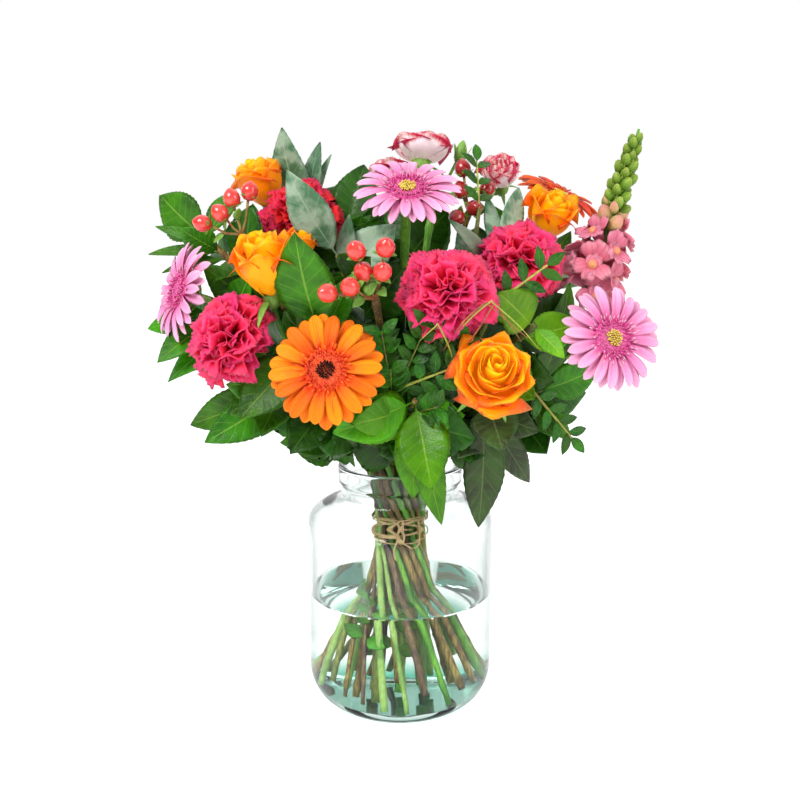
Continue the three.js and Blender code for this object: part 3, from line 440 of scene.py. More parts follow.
def bezier(hull, t):
    a, b, c, d = hull
    s = 1 - t
    return a * s**3 + b * (3 * s * s * t) + c * (3 * s * t * t) + d * t**3


stems = []
for name, (kind, heart, facing, size) in BLOOMS.items():
    base, axis = bloom_base(kind, heart, facing, size)
    stems.append(Stem(name, name + "_stem", base, kind, axis, 0.8 if size < 0.6 else 1))
stems.append(Stem("spray_rose", "spray_rose_stem", SPRAY_FORK, "rose", Vector((0.1, 0.1, 1))))
stems.append(Stem("snapdragon", "snapdragon_stem", SPIKE_BASE, "rose", SPIKE_TIP - SPIKE_BASE))
stems += [Stem(name, name, end, "twig") for name, end in BERRY_FORKS.items()]
stems += [Stem(name, name, end, "twig") for name, end in SPRIG_ENDS.items()]
for name, (first, last, _, _) in PINNATE.items():
    axis = Vector(last) - Vector(first) + Vector((0, 0, 12))
    stems.append(Stem(name, name, first, "pinnate", axis))

steep_first = sorted(stems, key=lambda one: one.lean)
taken = 0
for count, ring in TIE_RINGS:
    here = steep_first[taken : taken + count]
    taken += count
    here.sort(key=lambda one: math.atan2(math.sin(one.side), math.cos(one.side)))
    step = 2 * math.pi / max(1, len(here))
    start = math.atan2(
        sum(math.sin(one.side - k * step) for k, one in enumerate(here)),
        sum(math.cos(one.side - k * step) for k, one in enumerate(here)),
    )
    for k, one in enumerate(here):
        one.place = (ring * math.cos(start + k * step), ring * math.sin(start + k * step))
for order, one in enumerate(steep_first):
    one.order = order
for one in stems:
    if one.name in BLOOMS:
        one.end = one.end - one.axis * CUP_DEPTH[one.kind]
    one.settle()
stem_of = {one.name: one for one in stems}

# ---- Stems and their cups ----------------------------------------------------------
# Fresh-cut stems, each one plant: smooth fleshy gerbera stalks, ribbed rose and
# carnation stems with swollen joints, all cut square near the bottom of the jar.
# The green cup under each bloom grows from its stem.
STEM_SIDES = 12
# No two stems grow quite as thick as each other.
THICKNESS = [1.12, 0.86, 1.25, 0.95, 1.3, 0.8, 1.05]


def stem_material(name, base, other, patch, roughness=0.42, stripes=60.0):
    """Stem skin: long streaks of two greens or browns that run with the stem."""
    material, tree = new_material(name)
    place = add_node(tree, "ShaderNodeTexCoord").outputs["Object"]
    drawn = add_node(tree, "ShaderNodeMapping", {"Vector": place, "Scale": (1.0, 1.0, 0.06)}).outputs[0]
    streak = add_node(
        tree, "ShaderNodeTexNoise", {"Vector": drawn, "Scale": stripes * 12, "Detail": 3.0}
    ).outputs[0]
    cloud = add_node(tree, "ShaderNodeTexNoise", {"Vector": place, "Scale": 34.0, "Detail": 3.0}).outputs[0]
    streaky = add_node(tree, "ShaderNodeMapRange", {0: streak, 1: 0.42, 2: 0.62}).outputs[0]
    cloudy = add_node(tree, "ShaderNodeMapRange", {0: cloud, 1: 0.48, 2: 0.66}).outputs[0]
    colour = add_node(
        tree, "ShaderNodeMix", {0: streaky, 6: linear(base), 7: linear(other)}, data_type="RGBA"
    ).outputs[2]
    colour = add_node(
        tree, "ShaderNodeMix", {0: cloudy, 6: colour, 7: linear(patch)}, data_type="RGBA"
    ).outputs[2]
    bump = add_node(tree, "ShaderNodeBump", {"Height": streak, "Strength": 0.35, "Distance": 0.0005})
    add_node(tree, "ShaderNodeOutputMaterial", {"Surface": add_node(
        tree, "ShaderNodeBsdfPrincipled",
        {"Base Color": colour, "Roughness": roughness, "Normal": bump.outputs[0]},
    ).outputs[0]})
    return material


# Living stem skin is waxy, so it shines softly; woody twigs are duller.
green_stem = stem_material("fresh green stem", "#4F8F1E", "#76AE34", "#356E14")
pale_stem = stem_material("pale green stem", "#86A84C", "#A5C070", "#5F8636")
olive_stem = stem_material("olive stem", "#5C6A26", "#8A8A3C", "#454C1E", 0.5)
brown_stem = stem_material("brown striped twig", "#6A4C22", "#A08A44", "#3E2C16", 0.62)
purple_stem = stem_material("purple-flushed stem", "#5E3E34", "#80703C", "#402430", 0.55)
sepal_green = stem_material("green sepal", "#6C9A34", "#83AE45", "#4E7F28", 0.5, 90.0)
STEM_FINISH = {
    "gerbera": [green_stem, pale_stem, green_stem], "rose": [green_stem, olive_stem, purple_stem],
    "carnation": [pale_stem, olive_stem], "twig": [brown_stem, olive_stem, purple_stem, brown_stem],
    "pinnate": [olive_stem, brown_stem],
}


def tube(line, radii, material, sides=STEM_SIDES, tone=0.5, cut=(0, 0, 0)):
    """A closed round tube along a line of points, its radius given at each point."""
    line = np.asarray(line, float)
    radii = np.broadcast_to(radii, len(line))
    heading = np.gradient(line, axis=0)
    heading /= np.linalg.norm(heading, axis=1)[:, None]
    across = np.cross(heading[0], [0.31, 0.95, 0.05])
    co, flow = [], []
    turns = np.arange(sides) / sides * 2 * math.pi
    for k, middle in enumerate(line):
        across = across - heading[k] * across.dot(heading[k])
        across /= np.linalg.norm(across)
        other = np.cross(heading[k], across)
        ring = np.outer(np.cos(turns), across) + np.outer(np.sin(turns), other)
        co.append(middle + ring * radii[k])
        flow.append(np.stack([np.arange(sides) / sides, np.full(sides, k / len(line))], 1))
    co.append(np.array([line[0], line[-1]]))
    flow.append(np.array([[0, 0], [0, 1]]))
    faces = []
    ends = len(line) * sides
    for i in range(sides):
        j = (i + 1) % sides
        for k in range(len(line) - 1):
            a = k * sides
            faces.append([a + i, a + j, a + sides + j, a + sides + i])
        faces.append([ends, j, i])
        faces.append([ends + 1, ends - sides + i, ends - sides + j])
    return part(np.concatenate(co), faces, material, np.concatenate(flow), tone)


def seated(shape, point, facing, spin=0.0):
    """A shape made along +Z from the origin, moved to a point and turned to face a direction."""
    turn = Vector((0, 0, 1)).rotation_difference(Vector(facing).normalized()).to_matrix()
    turn = turn @ Matrix.Rotation(spin, 3, "Z")
    return {**shape, "co": shape["co"] @ np.array(turn).T + np.array(Vector(point))}


def stem_tube(one, finish):
    """A stem's tube, a little uneven, with swollen joints where leaves once grew."""
    line = one.line()
    measured = np.concatenate([[0], np.cumsum(np.linalg.norm(np.diff(line, axis=0), axis=1))])
    spacing = {"gerbera": 0, "rose": 47, "carnation": 38, "twig": 29, "pinnate": 33}[one.kind]
    fine = np.arange(0, measured[-1], 4.0)
    fine = np.append(fine, measured[-1])
    line = np.stack([np.interp(fine, measured, line[:, k]) for k in range(3)], 1)
    radii = one.radius * THICKNESS[one.order % len(THICKNESS)]
    radii = radii * (1 + 0.05 * np.sin(fine / 17 + one.order) + 0.03 * np.sin(fine / 5.3))
    if spacing:
        near = (fine + one.order * 7) % spacing
        near = np.minimum(near, spacing - near)
        radii = radii * (1 + 0.28 * np.exp(-((near / 3) ** 2)))
    return tube(line, radii, finish, tone=(one.order % 7) / 7)


# Every ring of like pieces round a middle is laid out by one tree: petals, florets,
# sepals, bracts and buds all stand in a spiral and lean outwards by rule.
RING_INPUTS = {
    "Part": "Object", "Finish": "Material", "Count": "Int", "Seed": "Int", "Start": "Float",
    "Turn": "Float", "Spacing": "Float", "Inner Radius": "Float", "Outer Radius": "Float",
    "Inner Height": "Float", "Outer Height": "Float", "Inner Lean": "Float",
    "Outer Lean": "Float", "Inner Size": "Float", "Outer Size": "Float",
    "Lean Spread": "Float", "Size Spread": "Float",
}
ring_tree = bpy.data.node_groups.new("ring of parts", "GeometryNodeTree")
for label, kind in RING_INPUTS.items():
    ring_tree.interface.new_socket(label, in_out="INPUT", socket_type="NodeSocket" + kind)
ring_tree.interface.new_socket("Geometry", in_out="OUTPUT", socket_type="NodeSocketGeometry")
given = add_node(ring_tree, "NodeGroupInput").outputs
ordinal = add_node(ring_tree, "GeometryNodeInputIndex").outputs[0]
last = add_node(ring_tree, "ShaderNodeMath", {0: given["Count"], 1: 1.0}, operation="SUBTRACT").outputs[0]
last = add_node(ring_tree, "ShaderNodeMath", {0: last, 1: 1.0}, operation="MAXIMUM").outputs[0]
share = add_node(ring_tree, "ShaderNodeMath", {0: ordinal, 1: last}, operation="DIVIDE").outputs[0]
spaced = add_node(ring_tree, "ShaderNodeMath", {0: share, 1: given["Spacing"]}, operation="POWER").outputs[0]
radius, height, lean, size = [
    add_node(
        ring_tree, "ShaderNodeMapRange",
        {0: spaced, 3: given["Inner " + what], 4: given["Outer " + what]}, clamp=False,
    ).outputs[0]
    for what in ("Radius", "Height", "Lean", "Size")
]
shift_1, shift_2, shift_3, tone_of = [
    add_node(
        ring_tree, "FunctionNodeRandomValue",
        {2: low, 3: 1.0, "Seed": add_node(
            ring_tree, "ShaderNodeMath", {0: given["Seed"], 1: float(k)}, operation="ADD"
        ).outputs[0]}, data_type="FLOAT",
    ).outputs[1]
    for k, low in ((0, -1.0), (17, -1.0), (31, -1.0), (53, 0.0))
]
angle = add_node(
    ring_tree, "ShaderNodeMath", {0: ordinal, 1: given["Turn"], 2: given["Start"]},
    operation="MULTIPLY_ADD",
).outputs[0]
jitter = add_node(
    ring_tree, "ShaderNodeMath", {0: shift_3, 1: given["Lean Spread"], 2: angle},
    operation="MULTIPLY_ADD",
).outputs[0]
tilted = add_node(
    ring_tree, "ShaderNodeMath", {0: shift_1, 1: given["Lean Spread"], 2: lean},
    operation="MULTIPLY_ADD",
).outputs[0]
grown = add_node(
    ring_tree, "ShaderNodeMath", {0: shift_2, 1: given["Size Spread"], 2: 1.0},
    operation="MULTIPLY_ADD",
).outputs[0]
grown = add_node(ring_tree, "ShaderNodeMath", {0: grown, 1: size}, operation="MULTIPLY").outputs[0]
x = add_node(ring_tree, "ShaderNodeMath", {0: add_node(
    ring_tree, "ShaderNodeMath", {0: jitter}, operation="COSINE"
).outputs[0], 1: radius}, operation="MULTIPLY").outputs[0]
y = add_node(ring_tree, "ShaderNodeMath", {0: add_node(
    ring_tree, "ShaderNodeMath", {0: jitter}, operation="SINE"
).outputs[0], 1: radius}, operation="MULTIPLY").outputs[0]
spots = add_node(ring_tree, "GeometryNodePoints", {
    "Count": given["Count"],
    "Position": add_node(ring_tree, "ShaderNodeCombineXYZ", {0: x, 1: y, 2: height}).outputs[0],
}).outputs[0]
turned_to = add_node(ring_tree, "FunctionNodeEulerToRotation", {
    0: add_node(ring_tree, "ShaderNodeCombineXYZ", {1: tilted, 2: jitter}).outputs[0],
}).outputs[0]
ring = add_node(ring_tree, "GeometryNodeInstanceOnPoints", {
    "Points": spots, "Rotation": turned_to, "Scale": grown,
    "Instance": add_node(
        ring_tree, "GeometryNodeObjectInfo", {"Object": given["Part"]}
    ).outputs["Geometry"],
}).outputs[0]
ring = add_node(
    ring_tree, "GeometryNodeStoreNamedAttribute", {"Geometry": ring, "Name": "tone", "Value": tone_of},
    data_type="FLOAT", domain="INSTANCE",
).outputs[0]
ring = add_node(ring_tree, "GeometryNodeRealizeInstances", {"Geometry": ring}).outputs[0]
ring = add_node(
    ring_tree, "GeometryNodeSetMaterial", {"Geometry": ring, "Material": given["Finish"]}
).outputs[0]
add_node(ring_tree, "NodeGroupOutput", {"Geometry": ring})


def grown_from(tree, values):
    """What a geometry tree makes with these input values, as one shape."""
    holder = bpy.data.objects.new("holder", bpy.data.meshes.new("holder"))
    bpy.context.scene.collection.objects.link(holder)
    made = holder.modifiers.new("made", "NODES")
    made.node_group = tree
    for item in tree.interface.items_tree:
        if item.in_out == "INPUT":
            made[item.identifier] = values[item.name]
    mesh = bpy.data.meshes.new_from_object(
        holder.evaluated_get(bpy.context.evaluated_depsgraph_get())
    )
    holder.modifiers.remove(made)
    count = len(mesh.vertices)
    co, flow, tone = np.zeros(count * 3), np.zeros(count * 3), np.full(count, 0.5)
    mesh.vertices.foreach_get("co", co)
    if "flow" in mesh.attributes:
        mesh.attributes["flow"].data.foreach_get("vector", flow)
    if "tone" in mesh.attributes:
        mesh.attributes["tone"].data.foreach_get("value", tone)
    shape = part(
        co.reshape(-1, 3), [list(p.vertices) for p in mesh.polygons], values["Finish"],
        flow.reshape(-1, 3)[:, :2], tone,
    )
    bpy.data.meshes.remove(mesh)
    bpy.data.objects.remove(holder)
    return shape


def pattern_of(*shapes):
    """One shape, or some joined, as an object that a tree can repeat."""
    co, flow, faces, start = [], [], [], 0
    for shape in shapes:
        co.append(shape["co"])
        flow.append(shape["flow"])
        faces += [[start + i for i in f] for f in shape["faces"]]
        start += len(shape["co"])
    mesh = bpy.data.meshes.new("pattern")
    mesh.from_pydata(np.concatenate(co).tolist(), [], faces)
    mesh.attributes.new("flow", "FLOAT_VECTOR", "POINT").data.foreach_set(
        "vector", np.concatenate(flow).ravel()
    )
    made = bpy.data.objects.new("pattern", mesh)
    bpy.context.scene.collection.objects.link(made)
    patterns.append(made)
    return made


def ring_of(pattern, finish, count, radii, heights, leans, sizes=(1, 1), turn=None, start=0.0,
            spacing=1.0, spread=(0.05, 0.06), seed=1):
    """Count copies of a pattern in a spiral or ring; pairs go from the inside to the outside."""
    values = {
        "Part": pattern, "Finish": finish, "Count": count, "Seed": seed, "Start": float(start),
        "Turn": float(2 * math.pi / count if turn is None else turn), "Spacing": float(spacing),
        "Lean Spread": float(spread[0]), "Size Spread": float(spread[1]),
    }
    for what, pair in (("Radius", radii), ("Height", heights), ("Lean", leans), ("Size", sizes)):
        values["Inner " + what], values["Outer " + what] = float(pair[0]), float(pair[1])
    return grown_from(ring_tree, values)


def sheet(grid, thick, material=None, tone=0.5):
    """A thin closed petal or leaf from a grid of points (along, across), sharp at its edge."""
    grid = np.asarray(grid, float)
    rows, columns = grid.shape[:2]
    out = np.cross(np.gradient(grid, axis=0), np.gradient(grid, axis=1))
    out /= np.linalg.norm(out, axis=2)[..., None] + 1e-9
    out = out[1:-1, 1:-1].reshape(-1, 3) * thick / 2
    co = np.concatenate([grid.reshape(-1, 3), grid[1:-1, 1:-1].reshape(-1, 3) - out])
    front = np.arange(rows * columns).reshape(rows, columns)
    co[front[1:-1, 1:-1].ravel()] += out
    back = front.copy()
    back[1:-1, 1:-1] = rows * columns + np.arange((rows - 2) * (columns - 2)).reshape(rows - 2, -1)
    faces = []
    for side, flip in ((front, 1), (back, -1)):
        quads = np.stack([side[:-1, :-1], side[:-1, 1:], side[1:, 1:], side[1:, :-1]], -1)
        faces += quads.reshape(-1, 4)[:, ::flip].tolist()
    v, u = np.meshgrid(np.linspace(0, 1, rows), np.linspace(0, 1, columns), indexing="ij")
    place = np.stack([u, v], -1)
    flow = np.concatenate([place.reshape(-1, 2), place[1:-1, 1:-1].reshape(-1, 2)])
    if inside_out(co - co.mean(0), faces):
        faces = [f[::-1] for f in faces]
    return part(co, faces, material, flow, tone)


patterns = []
GOLDEN = 2.39996


def pointed(length, width, curl, thick, rows=7, columns=5, cup=0.2, widest=0.4):
    """A pointed sepal or bract that grows along +Z with its inner face towards -X."""
    s = np.linspace(0, 1, rows)[:, None]
    u = np.linspace(-1, 1, columns)[None, :]
    half = width / 2 * np.where(
        s < widest, np.sin(s / widest * math.pi / 2) ** 0.6, np.cos((s - widest) / (1 - widest) * 1.5)
    ) + 0.15
    y = half * u
    x = curl * s**2 * length - cup * half * u**2 + 0 * u
    z = length * (s - 0.1 * s**2) + 0 * u
    return sheet(np.stack([x, y, z], -1), thick)


bract = pattern_of(pointed(9, 3.2, 0.05, 0.5))
long_sepal = pattern_of(pointed(25, 5.0, 0.25, 0.5, rows=10, widest=0.25))
short_sepal = pattern_of(pointed(15, 3.4, 0.2, 0.5, rows=8, widest=0.25))
calyx_tooth = pattern_of(pointed(7, 4.2, 0.1, 0.6))


def cup(kind, size):
    """The green cup under a bloom, made along +Z with its rim at the origin."""
    if kind == "gerbera":
        bowl = [[0, -9], [2.9, -8.8], [5, -7.2], [9, -4.2], [11.2, -1.6], [11, 0.4], [0, 0.6]]
        return [
            turned(bowl, 24, sepal_green),
            ring_of(bract, sepal_green, 26, (9.4, 9.4), (-4.8, -4.8), (0.95, 0.95), (1, 1), seed=3),
            ring_of(bract, sepal_green, 20, (7, 7), (-6.6, -6.6), (1.0, 1.0), (0.9, 0.9), seed=4),
        ]
    if kind == "carnation":
        tube_wall = [[0, -24], [2.4, -23.6], [3.6, -22], [5.4, -18.5], [6.3, -14], [6.5, -8],
                     [6.6, -2], [7.2, 1.5], [0, 1.6]]
        return [
            turned(tube_wall, 20, sepal_green),
            ring_of(calyx_tooth, sepal_green, 5, (6.4, 6.4), (-1.5, -1.5), (0.35, 0.35), seed=5),
            ring_of(calyx_tooth, sepal_green, 4, (3.6, 3.6), (-23, -23), (0.3, 0.3), seed=6),
        ]
    deep = 11 if kind == "rose" else 9
    hip = [[0, -deep], [2.6, -deep + 0.4], [5.6 * size, -deep * 0.62], [6.6 * size, -deep * 0.3],
           [5.2 * size, -0.6], [6.4 * size, 1], [0, 1.4]]
    sepals = long_sepal if kind == "rose" else short_sepal
    return [
        turned(hip, 16, sepal_green),
        ring_of(sepals, sepal_green, 5, (5 * size, 5 * size), (-2.0, -2.0), (1.9, 1.9),
                (size, size), spread=(0.3, 0.12), seed=7 + deep),
    ]


for name, (kind, heart, facing, size) in BLOOMS.items():
    one = stem_of[name]
    base, axis = bloom_base(kind, heart, facing, size)
    finish = STEM_FINISH[kind][(one.order * 5 + 1) % len(STEM_FINISH[kind])]
    shapes = [stem_tube(one, finish)]
    shapes += [seated(s, base, axis, one.order) for s in cup(kind, size)]
    make_piece(name + "_cup_and_stem", shapes, "green_stem", name + "_stem")

# ---- Spray rose stem ---------------------------------------------------------------
# One green stem that forks near its top into three short stalks and a closed bud.
one = stem_of["spray_rose"]
shapes = [stem_tube(one, green_stem)]
for name, (heart, facing, size, tall) in SPRAY_BLOOMS.items():
    base, axis = bloom_base("spray", heart, facing, size, tall)
    top = base - axis * CUP_DEPTH["spray"]
    bow = SPRAY_FORK.lerp(top, 0.5) + Vector((0, 0, -1.5))
    stalk = [SPRAY_FORK, SPRAY_FORK.lerp(bow, 0.5), bow, bow.lerp(top, 0.5), top]
    shapes.append(tube(stalk, [2.2, 1.6, 1.5, 1.5, 1.7], green_stem, 8))
    shapes += [seated(s, base, axis) for s in cup("spray", size)]
BUD = Vector((47, 16, 442))
bud_axis = Vector((0.2, 0, 1))
shapes.append(tube([SPRAY_FORK, SPRAY_FORK.lerp(BUD, 0.5) + Vector((2, 0, -1)), BUD], [1.6, 1.2, 1.4], green_stem, 8))
bud = [[0, -8], [2.6, -7], [4.6, -3.5], [5, 0], [4.4, 4], [2.8, 8], [1, 10.6], [0, 11]]
shapes.append(seated(turned(bud, 12, sepal_green), BUD, bud_axis))
shapes.append(seated(
    ring_of(short_sepal, sepal_green, 5, (4, 4), (-6, -6), (0.05, 0.05), (1, 1), seed=12), BUD, bud_axis,
))
make_piece("forked_spray_stem", shapes, "green_stem", "spray_rose_stem")

# ---- Twine tie ---------------------------------------------------------------------
# Undyed raffia, several flat strands laid together, wound twice round the bundle where
# the stems cross and knotted at the front, with a slack loop and two short ends.
BUNDLE_RADIUS = 22.6
strand_tree = bpy.data.node_groups.new("strand along a path", "GeometryNodeTree")
for label, kind in {"Path": "Object", "Finish": "Material", "Thickness": "Float", "Sides": "Int"}.items():
    strand_tree.interface.new_socket(label, in_out="INPUT", socket_type="NodeSocket" + kind)
strand_tree.interface.new_socket("Geometry", in_out="OUTPUT", socket_type="NodeSocketGeometry")
given = add_node(strand_tree, "NodeGroupInput").outputs
path = add_node(strand_tree, "GeometryNodeObjectInfo", {"Object": given["Path"]}).outputs["Geometry"]
profile = add_node(
    strand_tree, "GeometryNodeCurvePrimitiveCircle",
    {"Resolution": given["Sides"], "Radius": given["Thickness"]},
).outputs[0]
strand = add_node(
    strand_tree, "GeometryNodeCurveToMesh", {"Curve": path, "Profile Curve": profile, "Fill Caps": True}
).outputs[0]
strand = add_node(strand_tree, "GeometryNodeRealizeInstances", {"Geometry": strand}).outputs[0]
strand = add_node(
    strand_tree, "GeometryNodeSetMaterial", {"Geometry": strand, "Material": given["Finish"]}
).outputs[0]
add_node(strand_tree, "NodeGroupOutput", {"Geometry": strand})

# Raffia is dry palm leaf: straw brown, fibrous along its length, with no shine.
raffia, tree = new_material("raffia twine")
place = add_node(tree, "ShaderNodeTexCoord").outputs["Object"]
fibres = add_node(tree, "ShaderNodeTexNoise", {
    "Vector": add_node(tree, "ShaderNodeMapping", {"Vector": place, "Scale": (1, 1, 9)}).outputs[0],
    "Scale": 240.0, "Detail": 4.0,
}).outputs[0]
add_node(tree, "ShaderNodeOutputMaterial", {"Surface": add_node(
    tree, "ShaderNodeBsdfPrincipled", {
        "Base Color": add_node(
            tree, "ShaderNodeMix", {0: fibres, 6: linear("#8A6840"), 7: linear("#DCBE90")},
            data_type="RGBA",
        ).outputs[2],
        "Roughness": 0.9,
        "Normal": add_node(
            tree, "ShaderNodeBump", {"Height": fibres, "Strength": 0.6, "Distance": 0.0004}
        ).outputs[0],
    },
).outputs[0]})


def strand_along(points, thickness):
    """One raffia strand along a smooth path."""
    line = bpy.data.curves.new("path", "CURVE")
    line.dimensions = "3D"
    run = line.splines.new("NURBS")
    run.points.add(len(points) - 1)
    for spot, p in zip(run.points, points):
        spot.co = (*p, 1)
    run.use_endpoint_u = True
    run.order_u = 4
    run.resolution_u = 3
    holder = bpy.data.objects.new("path", line)
    bpy.context.scene.collection.objects.link(holder)
    patterns.append(holder)
    return grown_from(
        strand_tree, {"Path": holder, "Finish": raffia, "Thickness": thickness, "Sides": 6}
    )


rng = np.random.default_rng(7)
shapes = []
for k in range(6):
    height = TIE_HEIGHT - 5 + k * 2.0
    offset = rng.uniform(-0.6, 0.9)
    points = []
    for i in range(27):
        angle = -math.pi / 2 + i / 26 * 2.02 * math.pi
        swing = math.sin(angle * 3 + k) * 0.3
        r = BUNDLE_RADIUS + offset + swing + rng.uniform(-0.25, 0.25)
        z = height + 1.4 * math.sin(angle + k * 1.7) + rng.uniform(-0.15, 0.15)
        points.append((r * math.cos(angle), r * math.sin(angle), z))
    shapes.append(strand_along(points, rng.uniform(0.45, 0.8)))
front = -BUNDLE_RADIUS
shapes.append(strand_along([
    (-14, front + 5, 150), (-10, front + 0.5, 151), (-3, front - 2, 149), (5, front - 4, 143),
    (10, front - 5, 138), (14, front - 2.5, 141), (16, front + 1.5, 147), (15, front + 6, 151),
], 0.8))
shapes.append(strand_along([
    (-15, front + 6, 153), (-9, front + 1, 155), (-2, front - 2, 153), (4, front - 3, 149),
    (3, front - 3.5, 145), (-2, front - 3, 145), (-3, front - 2.5, 150), (2, front - 2.5, 152),
], 0.9))
shapes.append(strand_along([
    (2, front - 2.6, 150), (6, front - 3.6, 156), (12, front - 4, 160), (17, front - 2, 160),
], 0.7))
shapes.append(strand_along([
    (-1, front - 2.6, 148), (-5, front - 4, 141), (-6, front - 4.6, 133), (-3, front - 4, 127),
], 0.7))
make_piece("raffia_tie", shapes, "twine", "twine_tie")

# ---- Gerberas ----------------------------------------------------------------------
# Each gerbera is a flat daisy head: two rings of strap-like ray petals round a disc of
# hundreds of tiny florets, fringed outside and closed at the eye.
# The head sits on its green cup at the end of a bare stalk.


def petal_material(name, base, middle, tip, line, lines=9.0, shade=0.35, roughness=0.5):
    """Petal skin: a colour that changes along the petal, with fine lines from end to end."""
    material, tree = new_material(name)
    flow = add_node(
        tree, "ShaderNodeAttribute", attribute_name="flow", attribute_type="GEOMETRY"
    ).outputs["Vector"]
    across, along, tone = add_node(tree, "ShaderNodeSeparateXYZ", {0: flow}).outputs
    place = add_node(tree, "ShaderNodeTexCoord").outputs["Object"]
    cloud = add_node(tree, "ShaderNodeTexNoise", {"Vector": place, "Scale": 120.0, "Detail": 2.0}).outputs[0]
    ramp = add_node(tree, "ShaderNodeValToRGB", {0: add_node(
        tree, "ShaderNodeMath", {0: cloud, 1: 0.24, 2: add_node(
            tree, "ShaderNodeMath", {0: along, 1: 0.12}, operation="SUBTRACT"
        ).outputs[0]}, operation="MULTIPLY_ADD",
    ).outputs[0]})
    stops = ramp.color_ramp.elements
    stops[0].position, stops[0].color = 0.08, linear(base)
    stops[1].position, stops[1].color = 0.95, linear(tip)
    stops.new(0.45).color = linear(middle)
    wave = add_node(tree, "ShaderNodeMath", {0: add_node(
        tree, "ShaderNodeMath", {0: across, 1: lines * 2 * math.pi, 2: add_node(
            tree, "ShaderNodeMath", {0: cloud, 1: 3.0}, operation="MULTIPLY"
        ).outputs[0]}, operation="MULTIPLY_ADD",
    ).outputs[0]}, operation="SINE").outputs[0]
    groove = add_node(tree, "ShaderNodeMapRange", {0: wave, 1: 0.1, 2: 1.0, 4: shade}).outputs[0]
    lined = add_node(
        tree, "ShaderNodeMix", {0: groove, 6: ramp.outputs[0], 7: linear(line)}, data_type="RGBA"
    ).outputs[2]
    varied = add_node(tree, "ShaderNodeHueSaturation", {
        "Hue": add_node(tree, "ShaderNodeMapRange", {0: tone, 3: 0.492, 4: 0.508}).outputs[0],
        "Value": add_node(tree, "ShaderNodeMapRange", {0: tone, 3: 0.88, 4: 1.1}).outputs[0],
        "Color": lined,
    }).outputs[0]
    bump = add_node(tree, "ShaderNodeBump", {"Height": wave, "Strength": 0.3, "Distance": 0.0004})
    add_node(tree, "ShaderNodeOutputMaterial", {"Surface": add_node(
        tree, "ShaderNodeBsdfPrincipled", {
            "Base Color": varied, "Roughness": roughness, "Sheen Weight": 0.02, "Specular IOR Level": 0.2,
            "Subsurface Weight": 0.12, "Subsurface Radius": (0.004, 0.002, 0.0015),
            "Subsurface Scale": 1.0, "Normal": bump.outputs[0],
        },
    ).outputs[0]})
    return material


# Fresh petals are velvety and slightly see-through; floret tips are matt and crisp.
orange_petal = petal_material("orange gerbera petal", "#F05404", "#FA7C02", "#FC8408", "#EC6400", 7, 0.3)
orange_fringe = petal_material("orange gerbera fringe", "#C4200C", "#F44A14", "#FF7C28", "#D83410", 2)
dark_eye = petal_material("dark gerbera eye", "#080204", "#0E0306", "#1C060A", "#080204", 2, 0.35, 0.9)
deep_floret = petal_material("deep red floret", "#8A0C08", "#E03812", "#FF6C34", "#A01808", 2)
pink_petal = petal_material("pink gerbera petal", "#DE5C98", "#F09CC6", "#F8C0DA", "#E085B4", 7, 0.35)
pink_fringe = petal_material("pink gerbera fringe", "#B01C60", "#DE5C9C", "#F9CFE2", "#B42C6C", 2)
pink_floret = petal_material("magenta floret", "#9C1450", "#D4388A", "#F08CC0", "#9C1450", 2)
lime_eye = petal_material("yellow gerbera eye", "#A88A1C", "#DDB83C", "#F0DC7C", "#A89228", 2)
rust_petal = petal_material("rust gerbera petal", "#B8300C", "#DC4A18", "#EE6A30", "#B8320E", 7, 0.4)
rust_fringe = petal_material("rust gerbera fringe", "#6E1206", "#C23A10", "#F0803A", "#7E1A08", 2)
# Petals a ring, petal width, how square the tip is, finishes from the rays to the eye.
GERBERAS = {
    "orange_gerbera": (15, 9.6, 0.4, orange_petal, orange_fringe, deep_floret, dark_eye, "orange_petal"),
    "top_pink_gerbera": (17, 7.4, 0.42, pink_petal, pink_fringe, pink_floret, lime_eye, "pink_petal"),
    "left_pink_gerbera": (17, 7.6, 0.42, pink_petal, pink_fringe, pink_floret, pink_floret, "pink_petal"),
    "right_pink_gerbera": (17, 7.6, 0.42, pink_petal, pink_fringe, pink_floret, lime_eye, "pink_petal"),
    "rust_gerbera": (17, 8.2, 0.6, rust_petal, rust_fringe, deep_floret, lime_eye, "rust_petal"),
}


def ray_petal(length, width, taper, droop, twist):
    """A strap petal that grows along +Z, its face towards -X, with a rounded tip."""
    s = np.sin(np.linspace(0, math.pi / 2, 13))[:, None]
    u = np.linspace(-1, 1, 7)[None, :]
    half = width / 2 * (0.42 + 0.58 * np.sin(np.minimum(s / 0.72, 1) * math.pi / 2))
    tip = np.clip((s - 0.72) / 0.28, 0, 1)
    half = half * np.maximum(1 - tip**2, 0) ** taper + 0.2
    channel = 0.16 * half * np.cos(u * math.pi * 1.5) - 0.3 * half * u**2
    x = channel + droop * length * (s**2.2) - 0.05 * length * np.sin(s * math.pi) + twist * half * u * s
    z = length * (s - 0.03 * np.abs(u) ** 2 * s)
    return pattern_of(sheet(np.stack([x, half * u + 0 * s, z], -1), 0.5))


def floret(length, width):
    """A tiny tube floret, split at its tip, with few faces because hundreds stand together."""
    rings = [[0, 0], [width * 0.32, 0.1], [width * 0.3, length * 0.5], [width * 0.5, length * 0.86],
             [width * 0.3, length], [0, length * 0.9]]
    return pattern_of(turned(rings, 5, None))


